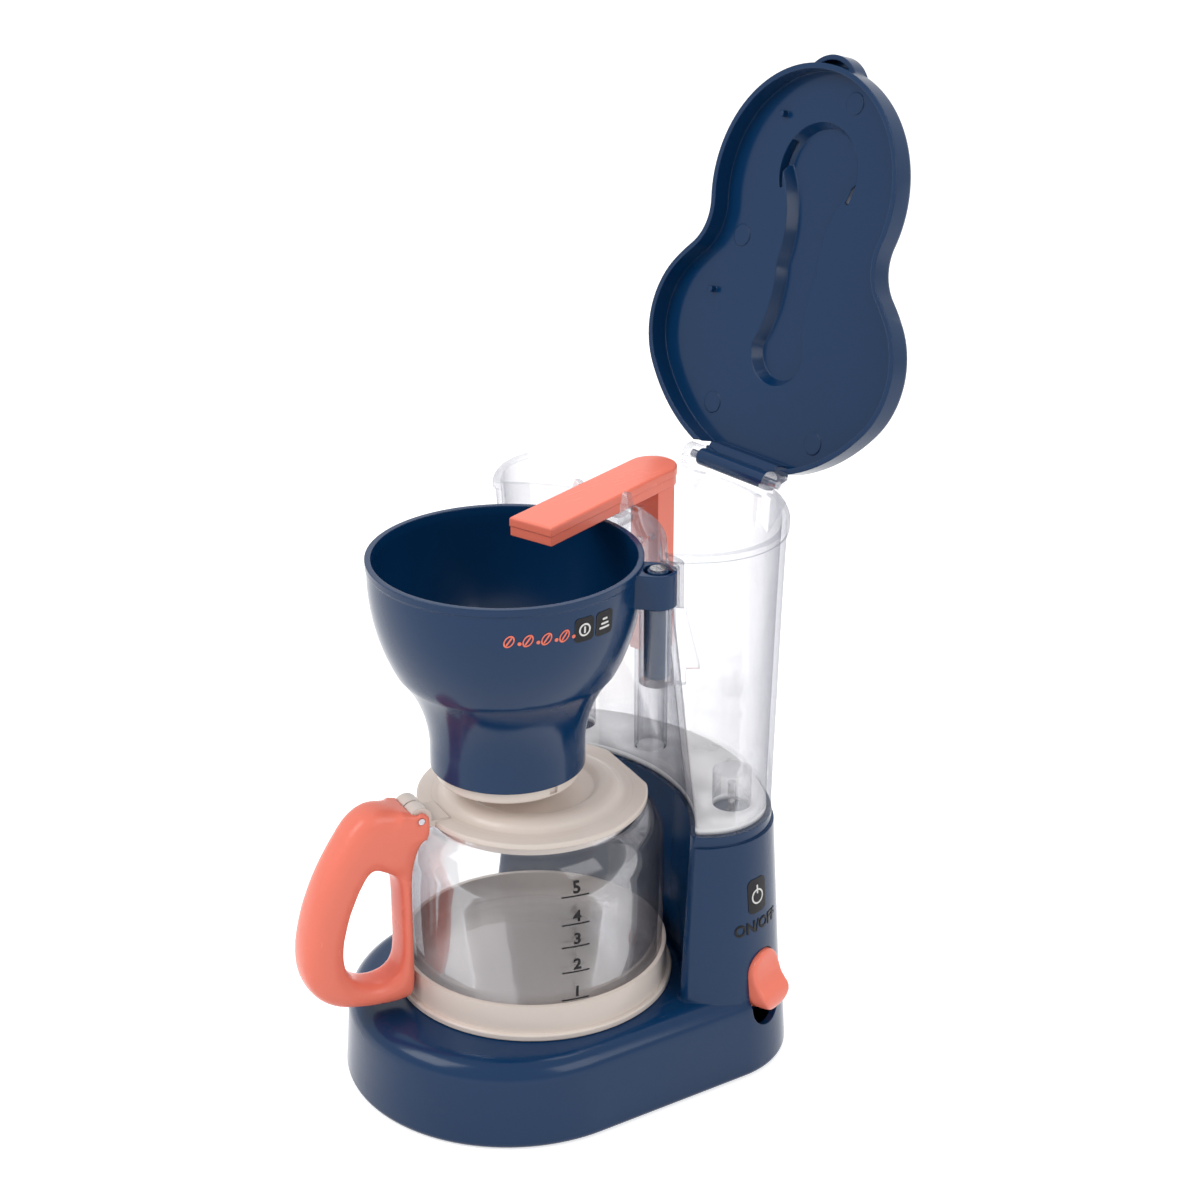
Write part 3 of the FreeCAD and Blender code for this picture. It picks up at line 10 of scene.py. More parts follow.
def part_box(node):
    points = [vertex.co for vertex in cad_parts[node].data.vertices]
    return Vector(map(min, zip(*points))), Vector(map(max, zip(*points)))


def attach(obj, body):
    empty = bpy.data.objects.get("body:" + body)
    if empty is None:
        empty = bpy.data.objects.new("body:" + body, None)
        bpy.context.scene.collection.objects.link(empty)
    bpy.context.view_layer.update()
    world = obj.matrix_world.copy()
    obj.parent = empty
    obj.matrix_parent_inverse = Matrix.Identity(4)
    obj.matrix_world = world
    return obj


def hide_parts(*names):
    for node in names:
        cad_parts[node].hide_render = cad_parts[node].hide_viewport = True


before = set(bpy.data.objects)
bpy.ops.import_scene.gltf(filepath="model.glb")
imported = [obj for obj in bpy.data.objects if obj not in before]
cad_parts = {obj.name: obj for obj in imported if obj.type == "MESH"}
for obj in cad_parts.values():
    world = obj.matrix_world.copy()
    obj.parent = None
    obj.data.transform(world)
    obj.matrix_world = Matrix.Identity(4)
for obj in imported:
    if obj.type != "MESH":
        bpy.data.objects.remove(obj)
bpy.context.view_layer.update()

bl_info = {
    "name": "Toy Coffee Maker",
    "version": (1, 0, 0),
    "blender": (4, 5, 0),
    "location": "View3D > Sidebar > Coffee Maker",
    "description": "Finishes and prints for a toy coffee maker, on the CAD model's frame",
    "category": "Object",
}

MM = 0.001
MERGE = 0.002 * MM

# Grey of the clear plastic seen edge-on: a painted reflection of darker surroundings
CLEAR_EDGE_REFLECTION = (0.52, 0.52, 0.56, 1.0)
LINE_WHITE = (0.8, 0.8, 0.78)

# Nodes of each plastic, by the colour they are moulded in
NAVY_NODES = ("base_hull", "base_cover", "switch_retainer", "lid_shell", "funnel_shell", "funnel_pin")
CORAL_NODES = ("faucet_column", "faucet_arm_top", "faucet_arm_bottom", "handle_left", "handle_right",
               "switch_button", "switch_slider")
BEIGE_NODES = ("funnel_drip_cap", "drip_valve", "carafe_cup", "carafe_lid")
CLEAR_NODES = ("water_tank", "carafe_glass")
STEEL_NODES = ("cover_screws", "tank_screws", "funnel_screw", "detent_spring", "carafe_lid_pin")


# Sizes and colours that a user would change


class FinishSettings(bpy.types.PropertyGroup):
    navy: FloatVectorProperty(name="Navy", description="Colour of the base, the funnel and the tank's lid",
                              subtype="COLOR", size=3, default=(0.002, 0.030, 0.096), min=0, max=1)
    coral: FloatVectorProperty(name="Coral", description="Colour of the arm, the handle and the switch",
                               subtype="COLOR", size=3, default=(0.90, 0.215, 0.145), min=0, max=1)
    beige: FloatVectorProperty(name="Beige", description="Colour of the carafe's lid and cup, and drip cap",
                               subtype="COLOR", size=3, default=(0.73, 0.645, 0.585), min=0, max=1)
    clear: FloatVectorProperty(name="Clear", description="Tint of the tank and the carafe",
                               subtype="COLOR", size=3, default=(0.965, 0.965, 0.97), min=0, max=1)
    frost: FloatVectorProperty(name="Frost", description="Colour of the tank's frosted floor",
                               subtype="COLOR", size=3, default=(0.90, 0.90, 0.92), min=0, max=1)
    ink: FloatVectorProperty(name="Ink", description="Colour of the dark prints",
                             subtype="COLOR", size=3, default=(0.011, 0.011, 0.013), min=0, max=1)
    edge_round: FloatProperty(name="Edge round", description="Width over which edges catch the light",
                              unit="LENGTH", default=0.0006, min=0)
    smooth_angle: FloatProperty(name="Smooth angle", description="Edges flatter than this are shaded smooth",
                                subtype="ANGLE", default=math.radians(32))


class HandleSettings(bpy.types.PropertyGroup):
    grain: FloatProperty(name="Grain", description="Size of the quads that the handle's skin is made of",
                         unit="LENGTH", default=0.0008, min=0.0004)
    rounds: IntProperty(name="Rounds", description="How often the skin is smoothed, which rounds the grip",
                        default=150, min=0)
    button_grain: FloatProperty(name="Button grain", description="Size of the quads of the button's skin",
                                unit="LENGTH", default=0.0004, min=0.0002)
    button_rounds: IntProperty(name="Button rounds", description="How often the button's skin is smoothed",
                               default=30, min=0)
    hinge_clear: FloatProperty(name="Hinge", description="Radius round the lid's rod that keeps its edges",
                               unit="LENGTH", default=0.008, min=0)


class PrintSettings(bpy.types.PropertyGroup):
    ink_thick: FloatProperty(name="Ink thickness", description="How far a print stands off its surface",
                             unit="LENGTH", default=0.00012, min=0)
    carafe_turn: FloatProperty(name="Scale place", description="Where the scale is, round the carafe from +X",
                               subtype="ANGLE", default=math.radians(-21))
    scale_line: FloatProperty(name="Scale line", description="Length of the scale's lines",
                              unit="LENGTH", default=0.0101, min=0)
    scale_digit: FloatProperty(name="Scale digit", description="Height of the scale's numbers",
                               unit="LENGTH", default=0.0041, min=0)
    switch_word: StringProperty(name="Switch word", description="Word under the switch's sign",
                                default="ON/OFF")
    switch_size: FloatProperty(name="Switch letters", description="Height of the switch's letters",
                               unit="LENGTH", default=0.0042, min=0)


class StageSettings(bpy.types.PropertyGroup):
    camera_at: FloatVectorProperty(name="Camera", description="Place of the camera", unit="LENGTH", size=3,
                                   default=(0.629, -0.495, 0.529))
    camera_aim: FloatVectorProperty(name="Aim", description="Point in the middle of the picture",
                                    unit="LENGTH", size=3, default=(0.0158, 0.0291, 0.1797))
    lens: FloatProperty(name="Lens", description="Focal length in millimetres", default=76.5, min=1)
    ambient: FloatProperty(name="Ambient", description="Strength of the even light", default=0.60, min=0)
    key: FloatProperty(name="Key", description="Power of the soft main lamp", default=11.0, min=0)
    fill: FloatProperty(name="Fill", description="Power of the soft second lamp", default=5.0, min=0)
    floor_lift: FloatProperty(name="Floor lift", description="How far the floor is lifted to white",
                              default=0.62, min=0)


# Node trees


def add(tree, kind, **values):
    """A node with some of its inputs set."""
    node = tree.nodes.new(kind)
    for key, value in values.items():
        node.inputs[key.replace("_", " ")].default_value = value
    return node


def join(tree, source, target):
    tree.links.new(source, target)


def noise(tree, coordinates, scale, detail=2.0, rough=0.5):
    node = add(tree, "ShaderNodeTexNoise", Scale=scale, Detail=detail, Roughness=rough)
    join(tree, coordinates, node.inputs["Vector"])
    return node.outputs["Fac"]


def spread(tree, value, low, high, from_low=0.3, from_high=0.7):
    """The value, carried over to another range."""
    node = add(tree, "ShaderNodeMapRange", From_Min=from_low, From_Max=from_high, To_Min=low, To_Max=high)
    join(tree, value, node.inputs["Value"])
    return node.outputs["Result"]


def blend_colour(tree, share, first, second):
    """The first colour, going over to the second by the share. Either may be a socket."""
    node = tree.nodes.new("ShaderNodeMix")
    node.data_type = "RGBA"
    sockets = [item for item in node.inputs if item.type == "RGBA"]
    join(tree, share, node.inputs["Factor"])
    for socket, colour in zip(sockets, (first, second)):
        if isinstance(colour, bpy.types.NodeSocket):
            join(tree, colour, socket)
        else:
            socket.default_value = colour
    return [item for item in node.outputs if item.type == "RGBA"][0]


def shade(colour, amount):
    return tuple(min(1.0, part * amount) for part in colour[:3]) + (1.0,)


def edge_mask(tree, width):
    """Rounded normal, and a mask that is 1 along edges."""
    soft = tree.nodes.new("ShaderNodeBevel")
    soft.samples = 4
    soft.inputs["Radius"].default_value = width
    plain = tree.nodes.new("ShaderNodeNewGeometry")
    dot = tree.nodes.new("ShaderNodeVectorMath")
    dot.operation = "DOT_PRODUCT"
    join(tree, soft.outputs["Normal"], dot.inputs[0])
    join(tree, plain.outputs["Normal"], dot.inputs[1])
    mask = add(tree, "ShaderNodeMapRange", From_Min=0.985, From_Max=0.90, To_Min=0.0, To_Max=1.0)
    join(tree, dot.outputs["Value"], mask.inputs["Value"])
    return soft.outputs["Normal"], mask.outputs["Result"]


def new_finish(name):
    material = bpy.data.materials.new(name)
    material.use_nodes = True
    return material, material.node_tree, material.node_tree.nodes["Principled BSDF"]


def moulded_plastic(name, colour, round_width, gloss=(0.12, 0.2), edge_sheen=1.35):
    """Glossy moulded plastic: faint flow marks, fine scuffs, an orange-peel skin, and a painted highlight
    that makes the edges paler in patches.

    A round_width of 0 is for a form that has no sharp edges.
    """
    material, tree, shader = new_finish(name)
    place = tree.nodes.new("ShaderNodeTexCoord").outputs["Object"]
    flow = noise(tree, place, 26.0, 3.0)
    speck = noise(tree, place, 900.0, 1.0)
    stretch = tree.nodes.new("ShaderNodeMapping")
    stretch.inputs["Scale"].default_value = (1400.0, 60.0, 60.0)
    stretch.inputs["Rotation"].default_value = (0.3, 0.5, 0.7)
    join(tree, place, stretch.inputs["Vector"])
    scuff = noise(tree, stretch.outputs["Vector"], 1.0, 2.0, 0.6)
    body = blend_colour(tree, spread(tree, flow, 0.0, 1.0), shade(colour, 0.975), shade(colour, 1.025))
    flecked = blend_colour(tree, spread(tree, speck, 0.0, 0.1, 0.5, 0.8), body, shade(colour, 1.15))
    peel = noise(tree, place, 240.0, 2.0)
    bump = add(tree, "ShaderNodeBump", Strength=0.03, Distance=0.0002)
    join(tree, peel, bump.inputs["Height"])
    join(tree, bump.outputs["Normal"], shader.inputs["Normal"])
    if round_width:
        normal, edge = edge_mask(tree, round_width)
        join(tree, normal, bump.inputs["Normal"])
        # Painted highlight: the edge mask paints the edges paler, patchy with the flow marks
        sheen_share = tree.nodes.new("ShaderNodeMath")
        sheen_share.operation = "MULTIPLY"
        join(tree, edge, sheen_share.inputs[0])
        join(tree, spread(tree, flow, 0.1, 0.55), sheen_share.inputs[1])
        flecked = blend_colour(tree, sheen_share.outputs["Value"], flecked, shade(colour, edge_sheen))
    join(tree, flecked, shader.inputs["Base Color"])
    rough = spread(tree, flow, gloss[0], gloss[1])
    scuffed = tree.nodes.new("ShaderNodeMath")
    scuffed.operation = "ADD"
    join(tree, rough, scuffed.inputs[0])
    join(tree, spread(tree, scuff, 0.0, 0.02, 0.58, 0.8), scuffed.inputs[1])
    join(tree, scuffed.outputs["Value"], shader.inputs["Roughness"])
    shader.inputs["IOR"].default_value = 1.36
    return material


def clear_plastic(name, colour, index=1.45, haze=0.015):
    """Clear moulded plastic: a tint that turns grey edge-on, a painted reflection of darker surroundings,
    with a glossy skin and a faint haze.

    Shadow and diffuse rays go through it, so that what stands inside is lit.
    """
    material = bpy.data.materials.new(name)
    material.use_nodes = True
    tree = material.node_tree
    tree.nodes.clear()
    output = tree.nodes.new("ShaderNodeOutputMaterial")
    place = tree.nodes.new("ShaderNodeTexCoord").outputs["Object"]
    stretch = tree.nodes.new("ShaderNodeMapping")
    stretch.inputs["Scale"].default_value = (90.0, 90.0, 9.0)
    join(tree, place, stretch.inputs["Vector"])
    ripple = noise(tree, stretch.outputs["Vector"], 1.0, 2.0)
    bump = add(tree, "ShaderNodeBump", Strength=0.25, Distance=0.0004)
    join(tree, ripple, bump.inputs["Height"])
    edge = add(tree, "ShaderNodeLayerWeight", Blend=0.35)
    join(tree, bump.outputs["Normal"], edge.inputs["Normal"])
    # Painted reflection: the tint goes grey edge-on, standing in for the darker surroundings that the edges
    # would mirror
    edge_reflection_share = spread(tree, edge.outputs["Facing"], 0.0, 1.0, 0.25, 1.0)
    window = tree.nodes.new("ShaderNodeBsdfTransparent")
    tint = blend_colour(tree, edge_reflection_share, shade(colour, 1.0), CLEAR_EDGE_REFLECTION)
    join(tree, tint, window.inputs["Color"])
    skin = add(tree, "ShaderNodeBsdfGlossy", Color=(0.9, 0.9, 0.92, 1.0))
    join(tree, spread(tree, ripple, 0.03, 0.09), skin.inputs["Roughness"])
    join(tree, bump.outputs["Normal"], skin.inputs["Normal"])
    mirror = add(tree, "ShaderNodeFresnel", IOR=index)
    join(tree, bump.outputs["Normal"], mirror.inputs["Normal"])
    shine = spread(tree, mirror.outputs["Fac"], 0.035, 0.34, 0.034, 1.0)
    glazed = tree.nodes.new("ShaderNodeMixShader")
    join(tree, shine, glazed.inputs[0])
    join(tree, window.outputs[0], glazed.inputs[1])
    join(tree, skin.outputs[0], glazed.inputs[2])
    milk = add(tree, "ShaderNodeBsdfPrincipled", Base_Color=(0.62, 0.62, 0.66, 1.0), IOR=index)
    join(tree, spread(tree, ripple, 0.2, 0.4), milk.inputs["Roughness"])
    whole = tree.nodes.new("ShaderNodeMixShader")
    join(tree, spread(tree, ripple, haze / 2, haze * 2), whole.inputs[0])
    join(tree, glazed.outputs[0], whole.inputs[1])
    join(tree, milk.outputs[0], whole.inputs[2])
    path = tree.nodes.new("ShaderNodeLightPath")
    lit = tree.nodes.new("ShaderNodeMath")
    lit.operation = "MAXIMUM"
    join(tree, path.outputs["Is Shadow Ray"], lit.inputs[0])
    join(tree, path.outputs["Is Diffuse Ray"], lit.inputs[1])
    passed = add(tree, "ShaderNodeBsdfTransparent", Color=(0.985, 0.985, 0.985, 1.0))
    open_up = tree.nodes.new("ShaderNodeMixShader")
    join(tree, lit.outputs["Value"], open_up.inputs[0])
    join(tree, whole.outputs[0], open_up.inputs[1])
    join(tree, passed.outputs[0], open_up.inputs[2])
    join(tree, open_up.outputs[0], output.inputs["Surface"])
    return material


def frosted_plastic(name, colour, clear=0.12):
    """Pale moulded plastic that lets some light through, grained fine."""
    material, tree, shader = new_finish(name)
    place = tree.nodes.new("ShaderNodeTexCoord").outputs["Object"]
    cloud = noise(tree, place, 60.0, 3.0)
    join(tree, blend_colour(tree, spread(tree, cloud, 0.0, 1.0), shade(colour, 0.88), shade(colour, 1.1)),
         shader.inputs["Base Color"])
    join(tree, spread(tree, cloud, 0.25, 0.45), shader.inputs["Roughness"])
    bump = add(tree, "ShaderNodeBump", Strength=0.2, Distance=0.0003)
    join(tree, noise(tree, place, 400.0, 2.0), bump.inputs["Height"])
    join(tree, bump.outputs["Normal"], shader.inputs["Normal"])
    window = add(tree, "ShaderNodeBsdfTransparent", Color=(0.95, 0.95, 0.96, 1.0))
    both = add(tree, "ShaderNodeMixShader", Fac=clear)
    join(tree, shader.outputs[0], both.inputs[1])
    join(tree, window.outputs[0], both.inputs[2])
    join(tree, both.outputs[0], tree.nodes["Material Output"].inputs["Surface"])
    return material


def steel(name, round_width):
    """Plated screw steel, brushed round and dulled."""
    material, tree, shader = new_finish(name)
    place = tree.nodes.new("ShaderNodeTexCoord").outputs["Object"]
    grain = noise(tree, place, 1500.0, 3.0)
    tone = blend_colour(tree, spread(tree, grain, 0.0, 1.0), (0.42, 0.42, 0.44, 1.0), (0.66, 0.66, 0.68, 1.0))
    join(tree, tone, shader.inputs["Base Color"])
    join(tree, spread(tree, grain, 0.22, 0.42), shader.inputs["Roughness"])
    normal, _ = edge_mask(tree, round_width / 3)
    bump = add(tree, "ShaderNodeBump", Strength=0.15, Distance=0.0001)
    join(tree, grain, bump.inputs["Height"])
    join(tree, normal, bump.inputs["Normal"])
    join(tree, bump.outputs["Normal"], shader.inputs["Normal"])
    shader.inputs["Metallic"].default_value = 1.0
    return material


def printed_ink(name, colour, spots=1.25):
    """Pad-printed ink: slightly uneven, with a soft sheen."""
    material, tree, shader = new_finish(name)
    place = tree.nodes.new("ShaderNodeTexCoord").outputs["Object"]
    patch = noise(tree, place, 700.0, 3.0)
    tone = blend_colour(tree, spread(tree, patch, 0.0, 1.0), shade(colour, 0.85), shade(colour, spots))
    join(tree, tone, shader.inputs["Base Color"])
    join(tree, spread(tree, patch, 0.36, 0.5), shader.inputs["Roughness"])
    shader.inputs["Specular IOR Level"].default_value = 0.2
    bump = add(tree, "ShaderNodeBump", Strength=0.08, Distance=0.0001)
    join(tree, patch, bump.inputs["Height"])
    join(tree, bump.outputs["Normal"], shader.inputs["Normal"])
    return material


# Finishes of the CAD nodes


def smooth_shading(piece, angle):
    """Merges the loose triangles in a modifier, and shades flat-lying edges smooth."""
    for face in piece.data.polygons:
        face.use_smooth = True
    weld = piece.modifiers.new("weld", "WELD")
    weld.merge_threshold = MERGE
    split = piece.modifiers.new("crease", "EDGE_SPLIT")
    split.use_edge_angle = True
    split.split_angle = angle
    split.use_edge_sharp = False


def dress(names, material, angle):
    for name in names:
        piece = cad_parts[name]
        if piece.material_slots:
            for slot in piece.material_slots:
                slot.material = material
        else:
            piece.data.materials.append(material)
        smooth_shading(piece, angle)


class COFFEE_OT_navy(bpy.types.Operator):
    """Navy finish for the base, the funnel and the tank's lid"""
    bl_idname = "coffee.navy"
    bl_label = "Navy Plastic"

    def execute(self, context):
        look = context.scene.coffee_finish
        dress(NAVY_NODES, moulded_plastic("navy_plastic", look.navy, look.edge_round), look.smooth_angle)
        return {"FINISHED"}


class COFFEE_OT_coral(bpy.types.Operator):
    """Coral finish for the arm, the handle and the switch"""
    bl_idname = "coffee.coral"
    bl_label = "Coral Plastic"

    def execute(self, context):
        look = context.scene.coffee_finish
        dress(CORAL_NODES, moulded_plastic("coral_plastic", look.coral, look.edge_round, gloss=(0.2, 0.3),
                                           edge_sheen=1.08), look.smooth_angle)
        return {"FINISHED"}


class COFFEE_OT_beige(bpy.types.Operator):
    """Beige finish for the carafe's lid and cup and for the drip cap"""
    bl_idname = "coffee.beige"
    bl_label = "Beige Plastic"

    def execute(self, context):
        look = context.scene.coffee_finish
        dress(BEIGE_NODES, moulded_plastic("beige_plastic", look.beige, look.edge_round, gloss=(0.18, 0.26),
                                           edge_sheen=1.12), look.smooth_angle)
        return {"FINISHED"}


class COFFEE_OT_clear(bpy.types.Operator):
    """Clear finish for the water tank and the carafe"""
    bl_idname = "coffee.clear"
    bl_label = "Clear Plastic"

    def execute(self, context):
        look = context.scene.coffee_finish
        dress(CLEAR_NODES, clear_plastic("clear_plastic", look.clear), look.smooth_angle)
        return {"FINISHED"}


class COFFEE_OT_steel(bpy.types.Operator):
    """Steel finish for the screws, the spring and the rod"""
    bl_idname = "coffee.steel"
    bl_label = "Screws and Spring"

    def execute(self, context):
        look = context.scene.coffee_finish
        dress(STEEL_NODES, steel("screw_steel", look.edge_round), look.smooth_angle)
        return {"FINISHED"}


# Pieces that take over from CAD nodes, or lie on them


def merged_copy(names):
    """The nodes' loose triangles in one bmesh, joined up."""
    solid = bmesh.new()
    for name in names:
        solid.from_mesh(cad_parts[name].data)
    bmesh.ops.remove_doubles(solid, verts=solid.verts, dist=MERGE)
    return solid


def finished_piece(name, solid, material, body):
    mesh = bpy.data.meshes.new(name)
    solid.to_mesh(mesh)
    solid.free()
    for face in mesh.polygons:
        face.use_smooth = True
    mesh.materials.append(material)
    piece = bpy.data.objects.new(name, mesh)
    bpy.context.scene.collection.objects.link(piece)
    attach(piece, body)
    return piece


def remeshed(solid, voxel):
    """One even skin of small quads round a solid."""
    mesh = bpy.data.meshes.new("remesh")
    solid.to_mesh(mesh)
    solid.free()
    holder = bpy.data.objects.new("remesh", mesh)
    bpy.context.scene.collection.objects.link(holder)
    grid = holder.modifiers.new("grid", "REMESH")
    grid.mode = "VOXEL"
    grid.voxel_size = voxel
    skin = bpy.data.meshes.new_from_object(holder.evaluated_get(bpy.context.evaluated_depsgraph_get()))
    result = bmesh.new()
    result.from_mesh(skin)
    bpy.data.objects.remove(holder)
    bpy.data.meshes.remove(mesh)
    bpy.data.meshes.remove(skin)
    return result


def rounded(solid, verts, rounds):
    """Smooths the given vertices, and leaves the faces pointing outwards."""
    for _ in range(rounds):
        bmesh.ops.smooth_vert(solid, verts=verts, factor=0.5, use_axis_x=True, use_axis_y=True,
                              use_axis_z=True)
    bmesh.ops.recalc_face_normals(solid, faces=solid.faces)
    if solid.calc_volume(signed=True) < 0:
        bmesh.ops.reverse_faces(solid, faces=solid.faces)


# The carafe's axis, the handle's turn from the front, and the middle of the lid's rod
CARAFE_CENTRE = Vector((0, 10.8 * MM, 0))
CARAFE_TURN = math.radians(-13)
HINGE_OUT = 46.4 * MM
HINGE_Z = 108.4 * MM
SPLIT_GAP = 0.02 * MM


class COFFEE_OT_handle(bpy.types.Operator):
    """Carafe handle: both halves as one grip, rounded like the moulded one"""
    bl_idname = "coffee.handle"
    bl_label = "Carafe Handle"

    def execute(self, context):
        sizes = context.scene.coffee_handle
        across = Vector((math.cos(CARAFE_TURN), math.sin(CARAFE_TURN), 0))
        outward = Vector((math.sin(CARAFE_TURN), -math.cos(CARAFE_TURN), 0))
        solid = merged_copy(("handle_left", "handle_right"))
        middle = [face for face in solid.faces
                  if all(abs((vertex.co - CARAFE_CENTRE).dot(across)) < SPLIT_GAP for vertex in face.verts)]
        bmesh.ops.delete(solid, geom=middle, context="FACES")
        solid = remeshed(solid, sizes.grain)
        soft = [vertex for vertex in solid.verts
                if math.hypot((vertex.co - CARAFE_CENTRE).dot(outward) - HINGE_OUT, vertex.co.z - HINGE_Z)
                > sizes.hinge_clear]
        rounded(solid, soft, sizes.rounds)
        look = context.scene.coffee_finish
        grip = moulded_plastic("coral_grip", look.coral, 0, gloss=(0.2, 0.3))
        piece = finished_piece("handle_grip", solid, grip, "carafe")
        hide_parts("handle_left", "handle_right")
        return {"FINISHED"}


# How far inside the hull's widest point the button is still smoothed
BUTTON_PROUD = 6.0 * MM


class COFFEE_OT_button(bpy.types.Operator):
    """Switch button, its edges rounded like the moulded one"""
    bl_idname = "coffee.button"
    bl_label = "Switch Button"

    def execute(self, context):
        sizes = context.scene.coffee_handle
        solid = remeshed(merged_copy(("switch_button",)), sizes.button_grain)
        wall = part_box("base_hull")[1][0] - BUTTON_PROUD
        proud = [vertex for vertex in solid.verts if vertex.co.x > wall]
        rounded(solid, proud, sizes.button_rounds)
        look = context.scene.coffee_finish
        material = moulded_plastic("coral_button", look.coral, 0, gloss=(0.18, 0.26))
        piece = finished_piece("button_cap", solid, material, "switch")
        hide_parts("switch_button")
        return {"FINISHED"}


TANK_FLOOR_Z = 98.5 * MM
FROST_THICK = 2.3 * MM
FROST_LIFT = 0.05 * MM


class COFFEE_OT_tank_floor(bpy.types.Operator):
    """Frosted floor of the water tank, over the tank's own floor"""
    bl_idname = "coffee.tank_floor"
    bl_label = "Tank Floor"

    def execute(self, context):
        look = context.scene.coffee_finish
        solid = merged_copy(("water_tank",))
        others = [face for face in solid.faces
                  if face.normal.z < 0.99 or abs(face.calc_center_median().z - TANK_FLOOR_Z) > 0.1 * MM]
        bmesh.ops.delete(solid, geom=others, context="FACES")
        bmesh.ops.translate(solid, vec=(0, 0, FROST_LIFT), verts=solid.verts)
        piece = finished_piece("tank_floor", solid, frosted_plastic("frosted_plastic", look.frost), "machine")
        wall = piece.modifiers.new("thickness", "SOLIDIFY")
        wall.thickness = FROST_THICK
        wall.offset = -1.0
        return {"FINISHED"}


# Prints: flat shapes made in a plane, then laid on the surface behind it


# Letters' added weight and capital height as shares, and a print's gap from its surface
BOLD = 0.045
CAPITAL = 0.7
LIFT = 0.08 * MM
HOOP_SIDES = 32

# A print is dropped on its surface from this far out, and has to land within this way
DROP_FROM = 20.0 * MM
DROP_WAY = 60.0 * MM


def bar(flat, width, height, round_off, at=(0, 0), slices=0):
    """A rounded bar, sliced upright so that it can bend round a surface."""
    part = bmesh.new()
    bmesh.ops.create_grid(part, x_segments=1, y_segments=1, size=0.5)
    bmesh.ops.scale(part, vec=(width, height, 1), verts=part.verts)
    if round_off:
        bmesh.ops.bevel(part, geom=list(part.verts), offset=round_off, offset_type="OFFSET", segments=5,
                        profile=0.5, affect="VERTICES", material=-1)
    for index in range(1, slices):
        x = width * (index / slices - 0.5)
        bmesh.ops.bisect_plane(part, geom=list(part.verts) + list(part.edges) + list(part.faces),
                               plane_co=(x, 0, 0), plane_no=(1, 0, 0))
    bmesh.ops.translate(part, vec=(at[0], at[1], 0), verts=part.verts)
    absorb(flat, part)


def hoop(flat, radius, width, at=(0, 0), squash=1.0):
    """A flat ring."""
    part = bmesh.new()
    bmesh.ops.create_circle(part, cap_ends=False, segments=HOOP_SIDES, radius=radius)
    bmesh.ops.create_circle(part, cap_ends=False, segments=HOOP_SIDES, radius=radius - width)
    bmesh.ops.bridge_loops(part, edges=list(part.edges))
    bmesh.ops.scale(part, vec=(squash, 1, 1), verts=part.verts)
    bmesh.ops.translate(part, vec=(at[0], at[1], 0), verts=part.verts)
    absorb(flat, part)


def absorb(flat, part):
    """Adds one bmesh to another."""
    mesh = bpy.data.meshes.new("scrap")
    part.to_mesh(mesh)
    part.free()
    flat.from_mesh(mesh)
    bpy.data.meshes.remove(mesh)


def lettering(flat, text, height, at=(0, 0)):
    """Text as flat faces, its capital letters as tall as height."""
    curve = bpy.data.curves.new("letters", "FONT")
    curve.body = text
    curve.size = height / CAPITAL
    curve.align_x = "CENTER"
    curve.fill_mode = "FRONT"
    curve.offset = height * BOLD
    curve.resolution_u = 4
    holder = bpy.data.objects.new("letters", curve)
    mesh = bpy.data.meshes.new_from_object(holder)
    part = bmesh.new()
    part.from_mesh(mesh)
    bmesh.ops.translate(part, vec=(at[0], at[1], 0), verts=part.verts)
    absorb(flat, part)
    bpy.data.objects.remove(holder)
    bpy.data.curves.remove(curve)
    bpy.data.meshes.remove(mesh)


def lay_on(name, flat, node, centre, outward, lift, thick, material, body):
    """Lays a flat print on a node: its middle on the surface below centre, facing outward."""
    outward = Vector(outward).normalized()
    across = Vector((0, 0, 1)).cross(outward).normalized()
    upward = outward.cross(across)
    place = Matrix((across, upward, outward)).transposed().to_4x4()
    place.translation = Vector(centre)
    bmesh.ops.transform(flat, matrix=place, verts=flat.verts)
    surface = BVHTree.FromPolygons([vertex.co for vertex in node.data.vertices],
                                   [face.vertices for face in node.data.polygons])
    for vertex in flat.verts:
        hit, normal, _, _ = surface.ray_cast(vertex.co + outward * DROP_FROM, -outward, DROP_WAY)
        if hit is None:
            raise RuntimeError(f"{name} misses {node.name}")
        vertex.co = hit + normal * lift
    bmesh.ops.remove_doubles(flat, verts=flat.verts, dist=MERGE)
    bmesh.ops.recalc_face_normals(flat, faces=flat.faces)
    facing = sum(face.normal.dot(outward) * face.calc_area() for face in flat.faces)
    if facing < 0:
        bmesh.ops.reverse_faces(flat, faces=flat.faces)
    mesh = bpy.data.meshes.new(name)
    flat.to_mesh(mesh)
    flat.free()
    piece = bpy.data.objects.new(name, mesh)
    bpy.context.scene.collection.objects.link(piece)
    wall = piece.modifiers.new("ink", "SOLIDIFY")
    wall.thickness = thick
    wall.offset = 1.0
    mesh.materials.append(material)
    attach(piece, body)


# Heights of the scale's lines in millimetres, and the carafe's radius there
SCALE_LEVELS = (46.9, 58.2, 68.4, 77.3, 88.3)
LEVEL_R = 46.0 * MM


class COFFEE_OT_scale(bpy.types.Operator):
    """Plain scale of lines and numbers on the carafe"""
    bl_idname = "coffee.scale"
    bl_label = "Carafe Scale"

    def execute(self, context):
        prints = context.scene.coffee_print
        look = context.scene.coffee_finish
        ink = printed_ink("scale_ink", look.ink)
        out = Vector((math.cos(prints.carafe_turn), math.sin(prints.carafe_turn), 0))
        for number, level in enumerate(SCALE_LEVELS, start=1):
            flat = bmesh.new()
            bar(flat, prints.scale_line, 0.55 * MM, 0.2 * MM, slices=12)
            lettering(flat, str(number), prints.scale_digit, at=(0.6 * MM, 1.1 * MM))
            centre = CARAFE_CENTRE + out * LEVEL_R + Vector((0, 0, level * MM))
            lay_on(f"scale_{number}", flat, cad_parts["carafe_glass"], centre, out, LIFT,
                   prints.ink_thick, ink, "carafe")
        return {"FINISHED"}


